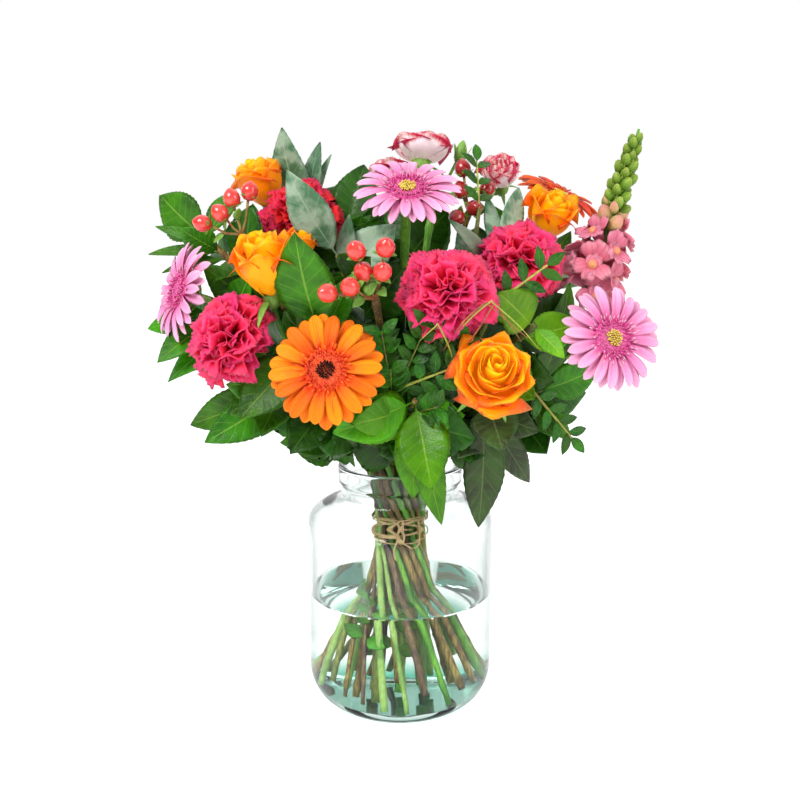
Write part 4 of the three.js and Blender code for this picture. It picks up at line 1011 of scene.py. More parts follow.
ray_patterns = {}
strap = pattern_of(pointed(7.5, 1.7, 0.12, 0.35, rows=5, columns=3, widest=0.5))
tall_floret = floret(5.2, 1.3)
short_floret = floret(2.8, 1.25)
for order, (name, looks) in enumerate(GERBERAS.items()):
    rays, width, taper, petal, fringe, middle, eye, slot = looks
    base, axis = bloom_base(*BLOOMS[name])
    shapes = []
    for layer, (lean, length, height) in enumerate(((1.45, 25.3, 7.8), (1.53, 26.0, 6.2))):
        for half in range(2):
            droop = (0.1, 0.13)[layer] + 0.05 * half
            key = (length, width, taper, droop)
            if key not in ray_patterns:
                ray_patterns[key] = ray_petal(length, width, taper, droop, 0.1 - 0.2 * half)
            shapes.append(ring_of(
                ray_patterns[key], petal, rays // 2, (11, 11), (height, height), (lean, lean),
                start=(layer * 0.5 + half) * 2 * math.pi / (rays // 2 * 2), turn=2 * math.pi / (rays // 2),
                spread=(0.055, 0.05), seed=order * 10 + layer * 3 + half,
            ))
    disc = [[0, 0], [6, 0.4], [11, 4], [14.5, 7.6], [13.6, 9.4], [9, 9.6], [4, 8.6], [0, 8.2]]
    shapes.append(turned(disc, 20, middle))
    shapes.append(ring_of(strap, fringe, 44, (12.6, 14), (8.6, 8.2), (1.02, 1.25), (0.85, 1.05),
                          turn=GOLDEN, spread=(0.16, 0.12), seed=40 + order))
    shapes.append(ring_of(strap, fringe, 46, (9.6, 12.4), (8.8, 8.8), (0.45, 0.85), (0.6, 0.85),
                          turn=GOLDEN, spread=(0.16, 0.14), seed=50 + order))
    shapes.append(ring_of(tall_floret, middle, 100, (5.6, 10.8), (7.4, 8.4), (0.1, 0.5), (0.6, 0.9),
                          turn=GOLDEN, spacing=0.6, spread=(0.1, 0.14), seed=60 + order))
    shapes.append(ring_of(short_floret, eye, 60, (0.3, 5.2), (8.6, 8.4), (0.02, 0.25), (0.9, 1.1),
                          turn=GOLDEN, spacing=0.5, spread=(0.08, 0.1), seed=70 + order))
    shapes = [seated(s, base, axis, order * 0.7) for s in shapes]
    make_piece(name + "_head", shapes, slot, name)

# ---- Roses -------------------------------------------------------------------------
# Garden-type spray and stem roses: broad petals wrapped in a spiral, tight and yellow at
# the heart, opening to turned-out, pointed outer petals with a redder edge.
# Each bloom sits on a green hip with five sepals.


def rose_material_with_painted_glow(name, heart, outer, edge, spill, roughness=0.42, edge_width=(0.55, 1.0)):
    """Rose petal: its own colour from heart to outer petals, and a second colour at the rim, with a faint painted glow
    in the same colour.
    """
    material, tree = new_material(name)
    flow = add_node(
        tree, "ShaderNodeAttribute", attribute_name="flow", attribute_type="GEOMETRY"
    ).outputs["Vector"]
    across, along, tone = add_node(tree, "ShaderNodeSeparateXYZ", {0: flow}).outputs
    place = add_node(tree, "ShaderNodeTexCoord").outputs["Object"]
    cloud = add_node(tree, "ShaderNodeTexNoise", {"Vector": place, "Scale": 70.0, "Detail": 3.0}).outputs[0]
    veins = add_node(tree, "ShaderNodeTexNoise", {
        "Vector": add_node(tree, "ShaderNodeCombineXYZ", {
            0: add_node(tree, "ShaderNodeMath", {0: across, 1: 26.0}, operation="MULTIPLY").outputs[0],
            1: add_node(tree, "ShaderNodeMath", {0: along, 1: 2.0}, operation="MULTIPLY").outputs[0],
            2: add_node(tree, "ShaderNodeMath", {0: tone, 1: 31.0}, operation="MULTIPLY").outputs[0],
        }).outputs[0], "Scale": 1.0, "Detail": 2.0,
    }).outputs[0]
    ground = add_node(tree, "ShaderNodeMix", {
        0: add_node(tree, "ShaderNodeMapRange", {0: tone, 1: 0.25, 2: 0.95}).outputs[0],
        6: linear(heart), 7: linear(outer),
    }, data_type="RGBA").outputs[2]
    off_middle = add_node(tree, "ShaderNodeMath", {0: add_node(
        tree, "ShaderNodeMath", {0: across, 1: 0.5}, operation="SUBTRACT"
    ).outputs[0]}, operation="ABSOLUTE").outputs[0]
    rim = add_node(tree, "ShaderNodeMath", {0: off_middle, 1: 0.9, 2: along}, operation="MULTIPLY_ADD").outputs[0]
    rim = add_node(tree, "ShaderNodeMath", {0: veins, 1: 0.34, 2: rim}, operation="MULTIPLY_ADD").outputs[0]
    rim = add_node(tree, "ShaderNodeMath", {0: tone, 1: spill, 2: rim}, operation="MULTIPLY_ADD").outputs[0]
    rim = add_node(
        tree, "ShaderNodeMapRange", {0: rim, 1: edge_width[0] + 0.6, 2: edge_width[1] + 0.6},
        interpolation_type="SMOOTHSTEP",
    ).outputs[0]
    colour = add_node(
        tree, "ShaderNodeMix", {0: rim, 6: ground, 7: linear(edge)}, data_type="RGBA"
    ).outputs[2]
    colour = add_node(tree, "ShaderNodeHueSaturation", {
        "Value": add_node(tree, "ShaderNodeMapRange", {0: cloud, 1: 0.3, 2: 0.7, 3: 0.9, 4: 1.08}).outputs[0],
        "Color": colour,
    }).outputs[0]
    bump = add_node(tree, "ShaderNodeBump", {"Height": veins, "Strength": 0.25, "Distance": 0.0005})
    # Painted glow: the petal colour is also emitted at strength 0.1, which lightens the shade between petals.
    add_node(tree, "ShaderNodeOutputMaterial", {"Surface": add_node(
        tree, "ShaderNodeBsdfPrincipled", {
            "Base Color": colour, "Roughness": roughness, "Sheen Weight": 0.02, "Specular IOR Level": 0.2,
            "Emission Color": colour, "Emission Strength": 0.1, "Subsurface Weight": 0.3, "Subsurface Radius": (0.005, 0.003, 0.0015),
            "Subsurface Scale": 1.0, "Normal": bump.outputs[0],
        },
    ).outputs[0]})
    return material


def rose_petal(radius, height, layer, angle, spread, flare, roll, sink, point, rng):
    """One rose petal round the axis; layer runs from 0 at the heart to 1 outside."""
    v = np.linspace(0, 1, 12)[:, None]
    u = np.linspace(-1, 1, 15)[None, :]
    turn = angle + u * spread * (0.42 + 0.58 * np.sin(np.minimum(v, 0.8) / 0.8 * math.pi / 2))
    foot = radius * (0.04 + 0.14 * layer)
    belly = radius * (0.1 + 0.82 * layer**0.8)
    mouth = radius * (0.09 + 0.6 * layer**1.1) + flare * radius * layer
    out = foot * (1 - v) ** 3 + 3 * belly * 0.95 * v * (1 - v) ** 2 + 3 * belly * v**2 * (1 - v) + mouth * v**3
    out = out + radius * 0.035 * u * (1 + layer)
    top = height * (1 - sink * layer**1.5 - rng.uniform(0, 0.1))
    rise = top * v * (1 - 0.24 * np.abs(u) ** 2.4 * v**2 - 0.04 * layer * v)
    peak = point * radius * layer**2 * np.exp(-((u / 0.22) ** 2)) * v**6
    rise, out = rise + 0.7 * peak, out + 0.8 * peak
    rolled = np.clip((v - 0.68) / 0.32, 0, 1) ** 2 * roll * radius * layer
    rolled = rolled * (0.45 + 0.75 * np.abs(u) ** 1.3)
    out = out + rolled
    rise = rise - rolled * 0.55 * layer
    wave = rng.uniform(0, 6.28)
    rise = rise + radius * 0.03 * layer * np.sin(u * 3.5 + wave) * v**3
    out = out + radius * 0.03 * np.sin(u * 2.6 + wave * 2) * v**2
    out = out + radius * 0.022 * np.sin(u * 5 + wave * 3) * v**5
    rise = rise + radius * 0.02 * np.sin(u * 4 + wave * 5) * v**4
    return np.stack([out * np.cos(turn), out * np.sin(turn), rise], -1)


def rose_head(radius, tall, finish, petals, flare, roll, sink, point, seed):
    """All petals of one rose, from the rolled heart outwards."""
    rng = np.random.default_rng(seed)
    height = radius * tall
    shapes = []
    for k in range(petals):
        layer = (k + 0.5) / petals
        spread = 1.55 - 0.6 * layer**0.6
        grid = rose_petal(
            radius, height, layer, k * GOLDEN + rng.uniform(-0.15, 0.15), spread,
            flare + rng.uniform(-0.04, 0.04), roll * rng.uniform(0.5, 1.4), sink, point, rng,
        )
        shapes.append(sheet(grid, 0.55, finish, min(1, layer + rng.uniform(-0.06, 0.06))))
    return shapes


# Velvet-soft petals, part see-through, so light shines through the thin rims; every petal also has a faint painted
# glow, emission in its own colour.
rose_yellow = rose_material_with_painted_glow("yellow rose petal", "#FFB800", "#FF9E00", "#F04E08", 0.2, 0.42, (0.56, 1.1))
rose_orange = rose_material_with_painted_glow("orange rose petal", "#FFBC04", "#FB8604", "#EA4A1E", 0.16, 0.42, (0.62, 1.15))
ROSES = {
    "left_rose": (rose_yellow, 17, -0.04, 0.45, 0.08, 0.2), "upper_rose": (rose_orange, 18, 0.12, 0.4, 0.15, 0.2),
    "front_rose": (rose_orange, 28, 0.26, 0.3, 0.55, 0.36), "right_rose": (rose_yellow, 18, 0.08, 0.4, 0.12, 0.2),
    "small_rose": (rose_orange, 14, 0.0, 0.3, 0.1, 0.15),
}
for order, (name, (finish, petals, flare, roll, sink, point)) in enumerate(ROSES.items()):
    kind, heart, facing, size = BLOOMS[name]
    base, axis = bloom_base(kind, heart, facing, size)
    shapes = rose_head(25 * size, 1.8, finish, petals, flare, roll, sink, point, 100 + order)
    shapes = [seated(s, base, axis, order * 1.3) for s in shapes]
    make_piece(name + "_bloom", shapes, "rose_petal", name)

# ---- Spray roses -------------------------------------------------------------------
# Three small cream roses with a crimson edge painted on every petal, on one forked stem.
# The top one shows its side, the right one its swirl.
spray_cream = rose_material_with_painted_glow(
    "cream and crimson rose petal", "#F9E6DA", "#F6DADC", "#B81C48", 0.02, 0.45, (0.36, 0.72)
)
SPRAY_PETALS = {"top_spray_rose": (24, 0.14, 0.28, 0.26), "left_spray_rose": (22, 0.1, 0.3, 0.1),
                "right_spray_rose": (22, 0.05, 0.3, 0.12)}
for order, (name, (heart, facing, size, tall)) in enumerate(SPRAY_BLOOMS.items()):
    base, axis = bloom_base("spray", heart, facing, size, tall)
    petals, flare, roll, sink = SPRAY_PETALS[name]
    shapes = rose_head(20 * size, tall, spray_cream, petals, flare, roll, sink, 0.1, 140 + order)
    shapes = [seated(s, base, axis, order) for s in shapes]
    make_piece(name + "_bloom", shapes, "spray_petal", name)

# ---- Carnations --------------------------------------------------------------------
# Full double carnations: some sixty fan-shaped petals with a ruffled, saw-toothed edge
# crowd out of a long green calyx and make a dome.


def fan_petal(length, reach, waves, depth, phase):
    """A ruffled fan on a narrow claw, growing along +Z with its face towards -X."""
    s = np.linspace(0, 1, 8)[:, None] ** 0.85
    u = np.linspace(-1, 1, 31)[None, :]
    saw = (np.arange(31) % 2)[None, :]
    turn = u * reach * (0.35 + 0.65 * s)
    out = length * s * (1 - 0.035 * saw * s**6) * (1 - 0.12 * u**2 + 0.05 * np.sin(3.1 * u + phase))
    ruffle = depth * length * s**2.4 * np.sin(waves * u * math.pi + phase + 1.2 * s)
    ruffle += 0.3 * depth * length * s**3 * np.sin(2.3 * waves * u * math.pi + 2 * phase)
    x = ruffle + 0.16 * length * s**2
    return pattern_of(sheet(np.stack([x, out * np.sin(turn) + 0.3 * u, out * np.cos(turn)], -1), 0.5))


fans = [fan_petal(31, 0.6, 1.35, 0.17, 0.4), fan_petal(32, 0.68, 1.7, 0.16, 2.1),
        fan_petal(30, 0.52, 1.15, 0.2, 3.6), fan_petal(31, 0.64, 1.9, 0.14, 5.0)]
# Carnation petals are thin and papery, deep pink towards the base of each petal and paler at the edge.
crimson_pink = petal_material("pink carnation petal", "#B80428", "#E2164A", "#F43A70", "#CE0E3E", 5, 0.2, 0.6)
crimson_red = petal_material("red carnation petal", "#9E081A", "#D2102E", "#E22440", "#B40C26", 5, 0.2, 0.6)
for order, name in enumerate(("left_carnation", "upper_carnation", "centre_carnation", "right_carnation")):
    kind, heart, facing, size = BLOOMS[name]
    base, axis = bloom_base(kind, heart, facing, size)
    finish = crimson_red if name == "upper_carnation" else crimson_pink
    shapes = []
    for k, fan in enumerate(fans):
        shapes.append(ring_of(
            fan, finish, 17, (0.5, 4.0), (7.0, 7.0), (0.02, 1.58), (0.85 * size, 0.94 * size),
            turn=GOLDEN, start=k * 1.57, spacing=0.82, spread=(0.26, 0.08), seed=200 + order * 10 + k,
        ))
    shapes = [seated(s, base, axis, order) for s in shapes]
    make_piece(name + "_bloom", shapes, "carnation_petal", name)

# ---- Snapdragon --------------------------------------------------------------------
# One spike: open two-lipped dusty-pink flowers at its foot, half-open buds above them,
# and scale-like green buds packed in a spiral up to the tip.
spike_axis = (SPIKE_TIP - SPIKE_BASE).normalized()
spike_length = (SPIKE_TIP - SPIKE_BASE).length


def lip(length, width, curl, spin, reach):
    """One lobe of a snapdragon's mouth."""
    s = np.linspace(0, 1, 7)[:, None]
    u = np.linspace(-1, 1, 7)[None, :]
    half = width / 2 * np.sin(np.clip(0.12 + 0.88 * s, 0, 1) * math.pi * 0.86) ** 0.6 + 0.1
    x = reach + curl * length * s**1.4 + 0.15 * half * u**2
    y = half * u * (1 + 0 * s)
    z = 10 + length * (0.75 * s - 0.25 * s**2) + 0.06 * length * np.sin(u * 5) * s
    grid = np.stack([x, y, z], -1)
    c, d = math.cos(spin), math.sin(spin)
    return sheet(grid @ np.array([[c, d, 0], [-d, c, 0], [0, 0, 1]]), 0.7)


throat = turned([[0, 0], [2.4, 0.3], [3.6, 3], [4.4, 8], [5.0, 12], [4.2, 12.6], [0, 9]], 12, None)
palate = seated(turned([[0, -2.5], [2.4, -1.8], [3.4, 0.3], [2.6, 2.0], [0, 2.5]], 10, None), (2.8, 0, 12), (0.6, 0, 1))
snap_flower = pattern_of(
    throat, lip(13.5, 13.5, 0.5, math.pi - 0.5, 3), lip(13.5, 13.5, 0.5, math.pi + 0.5, 3),
    lip(8.5, 9, 1.25, 0, 3.4), lip(9, 10, 1.2, 0.85, 3.2), lip(9, 10, 1.2, -0.85, 3.2),
)
snap_mouth = pattern_of(palate)
snap_bud = pattern_of(turned(
    [[0, 0], [2.6, 0.6], [4, 3.2], [4.2, 6], [3.2, 9], [1.6, 11], [0, 11.6]], 9, None,
    lambda turn, share: 1 + 0.12 * math.cos(2 * turn),
))
green_bud = pattern_of(turned([[0, 0], [1.9, 0.5], [2.8, 2.4], [2.5, 4.8], [1.2, 6.8], [0, 7.3]], 8, None))
bud_scale = pattern_of(pointed(7, 4.4, -0.15, 0.5, rows=5, columns=5, cup=-0.5))
# Snapdragon petals are soft and matt, pinker inside the lips, with a yellow palate.
snap_pink = petal_material("dusty pink snapdragon petal", "#D9808E", "#D46E86", "#DE8A9C", "#B85470", 4, 0.35)
snap_yellow = petal_material("yellow-flushed snapdragon palate", "#D46E86", "#D97A84", "#E6A860", "#CC6A60", 3, 0.3)
snap_blush = petal_material("blushing snapdragon bud", "#8A9A48", "#C69A72", "#CE7C80", "#8C8448", 4, 0.3)
bud_green = petal_material("green snapdragon bud", "#3C5E14", "#6A8A24", "#A2B450", "#3E5A14", 4, 0.4)
foot = SPIKE_BASE
flowers = [
    ring_of(snap_flower, snap_pink, 12, (2.4, 2.0), (4, 48), (1.3, 0.95), (1.42, 1.1), turn=GOLDEN,
            start=-1.4, spread=(0.12, 0.06), seed=301),
    ring_of(snap_mouth, snap_yellow, 12, (2.4, 2.0), (4, 48), (1.3, 0.95), (1.42, 1.1), turn=GOLDEN,
            start=-1.4, spread=(0.12, 0.06), seed=301),
    ring_of(snap_bud, snap_blush, 10, (2.4, 2.2), (50, 72), (0.9, 0.7), (1.3, 0.95), turn=GOLDEN,
            start=0.4, spread=(0.1, 0.08), seed=302),
]
flowers = [seated(s, foot, spike_axis) for s in flowers]
make_piece("snapdragon_open_flowers", flowers, "snapdragon_petal", "snapdragon_flowers")
spike_line = [SPIKE_BASE.lerp(SPIKE_TIP, t) for t in np.linspace(0, 1, 12)]
green_parts = [
    ring_of(green_bud, bud_green, 32, (2.8, 1.5), (68, 120), (0.85, 0.36), (1.68, 1.1), turn=GOLDEN,
            spread=(0.12, 0.12), seed=303),
    ring_of(bud_scale, bud_green, 32, (2.6, 1.5), (64, 117), (1.0, 0.6), (1.4, 0.9), turn=GOLDEN,
            spread=(0.08, 0.1), seed=304),
    ring_of(bud_scale, sepal_green, 21, (2.2, 2.2), (2, 66), (1.2, 0.95), (1.0, 0.9), turn=GOLDEN,
            start=-1.4, spread=(0.1, 0.1), seed=305),
]
green_parts = [seated(s, foot, spike_axis) for s in green_parts]
green_parts.append(tube(spike_line, np.linspace(2.5, 1.0, 12), green_stem, 8))
green_parts.append(stem_tube(stem_of["snapdragon"], pale_stem))
make_piece("snapdragon_spike", green_parts, "green_stem", "snapdragon_stem")

# ---- Berry sprigs ------------------------------------------------------------------
# Hypericum: glossy coral berries, slightly pointed, each held by five small yellow-green
# sepals on a thin stalk that branches from a woody twig.
BERRIES = {
    "left_berry_sprig": [(-139, -64, 390), (-126, -66, 397), (-118, -64, 407), (-106, -60, 412)],
    "centre_berry_sprig": [(-27, -152, 374), (-9, -154, 376), (-11, -150, 361), (-23, -146, 361),
                           (-31, -154, 352), (-45, -152, 348)],
    "back_berry_sprig": [(47, -14, 430), (46, -14, 414), (66, -8, 415), (42, -30, 394), (55, -28, 401)],
}


def berry_material(name, base, flush, tip):
    """Berry skin: a smooth shiny skin with a flush on one side and a darker tip."""
    material, tree = new_material(name)
    place = add_node(tree, "ShaderNodeTexCoord").outputs["Object"]
    along = add_node(tree, "ShaderNodeSeparateXYZ", {0: add_node(
        tree, "ShaderNodeAttribute", attribute_name="flow", attribute_type="GEOMETRY"
    ).outputs["Vector"]}).outputs[1]
    cloud = add_node(tree, "ShaderNodeTexNoise", {"Vector": place, "Scale": 90.0, "Detail": 2.0}).outputs[0]
    flushed = add_node(tree, "ShaderNodeMapRange", {0: cloud, 1: 0.4, 2: 0.65}).outputs[0]
    colour = add_node(
        tree, "ShaderNodeMix", {0: flushed, 6: linear(base), 7: linear(flush)}, data_type="RGBA"
    ).outputs[2]
    ripe = add_node(tree, "ShaderNodeMapRange", {0: along, 1: 0.8, 2: 1.0}).outputs[0]
    colour = add_node(
        tree, "ShaderNodeMix", {0: ripe, 6: colour, 7: linear(tip)}, data_type="RGBA"
    ).outputs[2]
    add_node(tree, "ShaderNodeOutputMaterial", {"Surface": add_node(
        tree, "ShaderNodeBsdfPrincipled", {
            "Base Color": colour, "Roughness": 0.22, "Coat Weight": 0.6, "Coat Roughness": 0.08,
            "Subsurface Weight": 0.1, "Subsurface Radius": (0.004, 0.001, 0.001), "Subsurface Scale": 1.0,
            "Normal": add_node(
                tree, "ShaderNodeBump", {"Height": cloud, "Strength": 0.08, "Distance": 0.001}
            ).outputs[0],
        },
    ).outputs[0]})
    return material


coral_berry = berry_material("coral berry skin", "#D6302C", "#E24A40", "#7A1412")
dark_berry = berry_material("dark red berry skin", "#98161C", "#B42A2A", "#500A0E")
stalk_pink = stem_material("brown-pink berry stalk", "#A5603A", "#8C8A3A", "#7C3A30", 0.5)
berry_shape = [[0, -6.4], [3, -6], [5.2, -3.8], [6.1, -0.6], [5.8, 2.4], [4.2, 5], [2, 6.8], [0.7, 7.5], [0, 7.7]]
berry_leaf = pattern_of(pointed(8.5, 4.4, 0.1, 0.4, rows=6, columns=5, cup=0.3))
for order, (name, places) in enumerate(BERRIES.items()):
    fork = Vector(BERRY_FORKS[name])
    skin = dark_berry if name == "back_berry_sprig" else coral_berry
    shapes = [stem_tube(stem_of[name], brown_stem)]
    for k, place in enumerate(places):
        middle = Vector(place)
        away = (middle - fork).normalized()
        foot = middle - away * 5.8
        bow = fork.lerp(foot, 0.55) + Vector((0, 0, -2.2 + 0.7 * (k % 3)))
        stalk = [fork, fork.lerp(bow, 0.5), bow, bow.lerp(foot, 0.5), foot]
        shapes.append(tube(stalk, [1.5, 1.0, 0.85, 0.85, 1.1], stalk_pink, 8, tone=k / 6))
        shapes.append(seated(turned(berry_shape, 18, skin), middle, away, k))
        shapes.append(seated(
            ring_of(berry_leaf, sepal_green, 5, (1, 1), (-6.3, -6.3), (1.05, 1.05), (1, 1),
                    spread=(0.2, 0.15), seed=400 + order * 10 + k), middle, away, k,
        ))
        if k % 2 == 0:
            side = away.cross(Vector((0, 0, 1))).normalized() * (1 if k % 4 else -1)
            shapes.append(seated(
                ring_of(berry_leaf, sepal_green, 2, (0.5, 0.5), (0, 0), (1.1, 1.1), (1.5, 1.5), seed=k + 9),
                bow, away + side * 0.5, k,
            ))
    make_piece(name.replace("_sprig", "_twig"), shapes, "berry", name)

# ---- Leaf sprigs -------------------------------------------------------------------
# Cut greenery: woody twigs with alternate, oval, finely saw-toothed leaves, glossy above,
# folded a little along the midrib and arched; two sprigs are matt grey-green.
# Each leaf is a share of the twig, the tip, and the width; lower leaves follow a spiral.
SPRIG_LEAVES = {
    "top_left_leaf_sprig": [
        (1, (-105, 26, 458), 30), (0.97, (-66, 24, 452), 19), (1, (-56, 34, 444), 10),
        (0.9, (-112, 66, 420), 28), (0.88, (-54, 82, 422), 28), (0.8, (-100, 92, 385), 26),
    ],
    "top_leaf_sprig": [
        (1, (-34, 0, 438), 31), (0.94, (-27, -42, 396), 20), (0.9, (-22, 10, 415), 22),
    ],
    "far_left_leaf_sprig": [
        (1, (-184, 2, 411), 36), (0.94, (-164, -26, 386), 22), (0.98, (-187, -10, 388), 9),
        (0.93, (-186, -20, 365), 10), (0.9, (-184, -22, 356), 10), (0.9, (-150, 40, 372), 30),
        (1, (-126, 2, 415), 24),
    ],
    "left_leaf_sprig": [
        (1, (-196, -24, 311), 20), (0.96, (-176, -64, 291), 24), (0.88, (-171, -56, 276), 22),
        (0.94, (-172, 20, 318), 28), (0.86, (-150, 36, 288), 28),
    ],
    "low_left_leaf_sprig": [
        (1, (-113, -120, 284), 32), (0.95, (-118, -106, 262), 26), (0.88, (-155, -62, 244), 28),
        (0.84, (-138, -92, 238), 29),
    ],
    "front_left_leaf_sprig": [
        (1, (-72, -134, 382), 38), (0.96, (-31, -112, 358), 18), (0.92, (-66, -132, 330), 16),
    ],
    "grey_leaf_sprig": [(1, (-84, -66, 411), 27), (0.9, (-36, -66, 396), 14)],
    "rim_left_leaf_sprig": [
        (1, (-38, -98, 224), 22), (0.94, (-62, -108, 236), 20), (0.8, (-40, -84, 212), 10),
    ],
    "front_leaf_sprig": [
        (1, (-44, -138, 255), 30), (1, (21, -146, 219), 33), (0.9, (9, -114, 203), 24),
        (0.92, (29, -118, 184), 20),
    ],
    "front_right_leaf_sprig": [
        (1, (68, -132, 242), 30), (0.96, (56, -98, 177), 27), (0.9, (97, -70, 200), 20),
    ],
    "low_right_leaf_sprig": [
        (1, (148, -44, 284), 27), (0.92, (129, -52, 229), 16), (0.97, (126, -56, 343), 28),
        (0.86, (140, 6, 250), 28),
    ],
    "right_leaf_sprig": [(1, (64, -118, 346), 30), (1, (110, -116, 302), 14)],
    "narrow_leaf_sprig": [
        (0.96, (41, -92, 398), 11), (0.94, (124, -72, 347), 9), (1, (101, 10, 418), 18),
        (1, (68, -6, 412), 14),
    ],
    "back_left_leaf_sprig": [
        (1, (-128, 88, 404), 30), (0.95, (-160, 88, 350), 30), (0.9, (-120, 124, 330), 30),
        (0.84, (-140, 70, 296), 28), (0.8, (-84, 118, 290), 28), (0.72, (-112, 84, 250), 28),
    ],
    "back_leaf_sprig": [
        (1, (8, 106, 426), 30), (0.95, (-44, 124, 380), 30), (0.92, (40, 140, 356), 30),
        (0.86, (-22, 146, 320), 30), (0.8, (44, 132, 282), 28), (0.74, (-28, 124, 258), 28),
        (0.68, (14, 118, 232), 26),
    ],
    "back_right_leaf_sprig": [
        (1, (150, 104, 380), 28), (0.95, (166, 70, 338), 30), (0.9, (106, 128, 336), 30),
        (0.84, (150, 78, 288), 28), (0.78, (86, 122, 282), 28), (0.72, (118, 80, 244), 28),
        (0.98, (76, 84, 398), 26),
    ],
}


def leaf_material(name, face, shade, vein, back, roughness=0.36, ribs=9.0, mottle=0.35):
    """Leaf skin: darker and lighter cells between pale veins, glossy; back, the colour meant for the underside, is not
    used.
    """
    material, tree = new_material(name)
    flow = add_node(
        tree, "ShaderNodeAttribute", attribute_name="flow", attribute_type="GEOMETRY"
    ).outputs["Vector"]
    across, along, tone = add_node(tree, "ShaderNodeSeparateXYZ", {0: flow}).outputs
    place = add_node(tree, "ShaderNodeTexCoord").outputs["Object"]
    cloud = add_node(tree, "ShaderNodeTexNoise", {"Vector": place, "Scale": 60.0, "Detail": 4.0}).outputs[0]
    fine = add_node(tree, "ShaderNodeTexVoronoi", {"Vector": place, "Scale": 620.0}, feature="DISTANCE_TO_EDGE").outputs[0]
    off_middle = add_node(tree, "ShaderNodeMath", {0: add_node(
        tree, "ShaderNodeMath", {0: across, 1: 0.5}, operation="SUBTRACT"
    ).outputs[0]}, operation="ABSOLUTE").outputs[0]
    slanted = add_node(tree, "ShaderNodeMath", {0: add_node(
        tree, "ShaderNodeMath", {0: off_middle, 1: 0.8}, operation="POWER"
    ).outputs[0], 1: -0.34, 2: along}, operation="MULTIPLY_ADD").outputs[0]
    wave = add_node(tree, "ShaderNodeMath", {0: add_node(
        tree, "ShaderNodeMath", {0: slanted, 1: ribs * 2 * math.pi, 2: add_node(
            tree, "ShaderNodeMath", {0: cloud, 1: 2.2}, operation="MULTIPLY"
        ).outputs[0]}, operation="MULTIPLY_ADD",
    ).outputs[0]}, operation="COSINE").outputs[0]
    side_vein = add_node(tree, "ShaderNodeMapRange", {0: wave, 1: 0.86, 2: 1.0, 4: 0.2}).outputs[0]
    midrib = add_node(tree, "ShaderNodeMapRange", {0: off_middle, 1: 0.006, 2: 0.026, 3: 0.65, 4: 0.0}).outputs[0]
    veined = add_node(tree, "ShaderNodeMath", {0: side_vein, 1: midrib}, operation="MAXIMUM").outputs[0]
    mottled = add_node(tree, "ShaderNodeMapRange", {0: cloud, 1: 0.5 - mottle / 2, 2: 0.5 + mottle / 2}).outputs[0]
    ground = add_node(
        tree, "ShaderNodeMix", {0: mottled, 6: linear(shade), 7: linear(face)}, data_type="RGBA"
    ).outputs[2]
    colour = add_node(
        tree, "ShaderNodeMix", {0: veined, 6: ground, 7: linear(vein)}, data_type="RGBA"
    ).outputs[2]
    edge = add_node(tree, "ShaderNodeMapRange", {0: off_middle, 1: 0.48, 2: 0.5, 4: 0.4}).outputs[0]
    colour = add_node(
        tree, "ShaderNodeMix", {0: edge, 6: colour, 7: linear(vein)}, data_type="RGBA"
    ).outputs[2]
    colour = add_node(tree, "ShaderNodeHueSaturation", {
        "Hue": add_node(tree, "ShaderNodeMapRange", {0: tone, 3: 0.484, 4: 0.506}).outputs[0],
        "Value": add_node(tree, "ShaderNodeMapRange", {0: tone, 3: 0.68, 4: 1.25}).outputs[0],
        "Color": colour,
    }).outputs[0]
    swell = add_node(tree, "ShaderNodeMath", {0: wave, 1: -0.25, 2: fine}, operation="MULTIPLY_ADD").outputs[0]
    swell = add_node(tree, "ShaderNodeMath", {0: veined, 1: -0.9, 2: swell}, operation="MULTIPLY_ADD").outputs[0]
    bump = add_node(tree, "ShaderNodeBump", {"Height": swell, "Strength": 0.5, "Distance": 0.0005})
    add_node(tree, "ShaderNodeOutputMaterial", {"Surface": add_node(
        tree, "ShaderNodeBsdfPrincipled", {
            "Base Color": colour, "Roughness": roughness, "Normal": bump.outputs[0],
            "Specular IOR Level": 0.22,
            "Subsurface Weight": 0.06, "Subsurface Radius": (0.001, 0.003, 0.0008),
            "Subsurface Scale": 1.0,
        },
    ).outputs[0]})
    return material


# Leaves are waxy: a clear soft shine over deep green, with veins a little paler.
green_leaf = leaf_material("glossy green leaf", "#3A8206", "#1E5206", "#78A434", "#5F8F4A")
bright_leaf = leaf_material("bright young leaf", "#4A9C00", "#2E7800", "#86BA2C", "#7DAA4A", 0.3)
deep_leaf = leaf_material("deep green leaf", "#2A600A", "#143608", "#507A28", "#4A704A", 0.34)
plum_leaf = leaf_material("plum-flushed leaf", "#3A5A26", "#2C341E", "#64744A", "#5A644A", 0.34)
lime_leaf = leaf_material("lime leaf", "#6AAA10", "#488A0A", "#A0C84A", "#8CB050", 0.36)
grey_leaf = leaf_material("grey-green leaf", "#94AC92", "#4C7656", "#A2B89C", "#A8B8A4", 0.46, 8.0, 0.14)
LEAF_FINISH = {
    "top_left_leaf_sprig": (grey_leaf, "grey_leaf"), "top_leaf_sprig": (deep_leaf, "leaf"),
    "grey_leaf_sprig": (grey_leaf, "grey_leaf"), "narrow_leaf_sprig": (grey_leaf, "grey_leaf"),
    "rim_left_leaf_sprig": (deep_leaf, "dark_leaf"), "front_right_leaf_sprig": (plum_leaf, "dark_leaf"),
    "front_leaf_sprig": (bright_leaf, "leaf"), "right_leaf_sprig": (lime_leaf, "leaf"),
    "front_left_leaf_sprig": (green_leaf, "leaf"), "back_leaf_sprig": (deep_leaf, "leaf"),
}
LEAF_MIDDLE = Vector((0, 50, 280))
TIP_SHIFTS = sorted(
    [(lift, slide) for lift in (0, 5, -5, 10, -10, 16, -16) for slide in (0, 6, -6, 12, -12)],
    key=lambda shift: math.hypot(*shift),
)


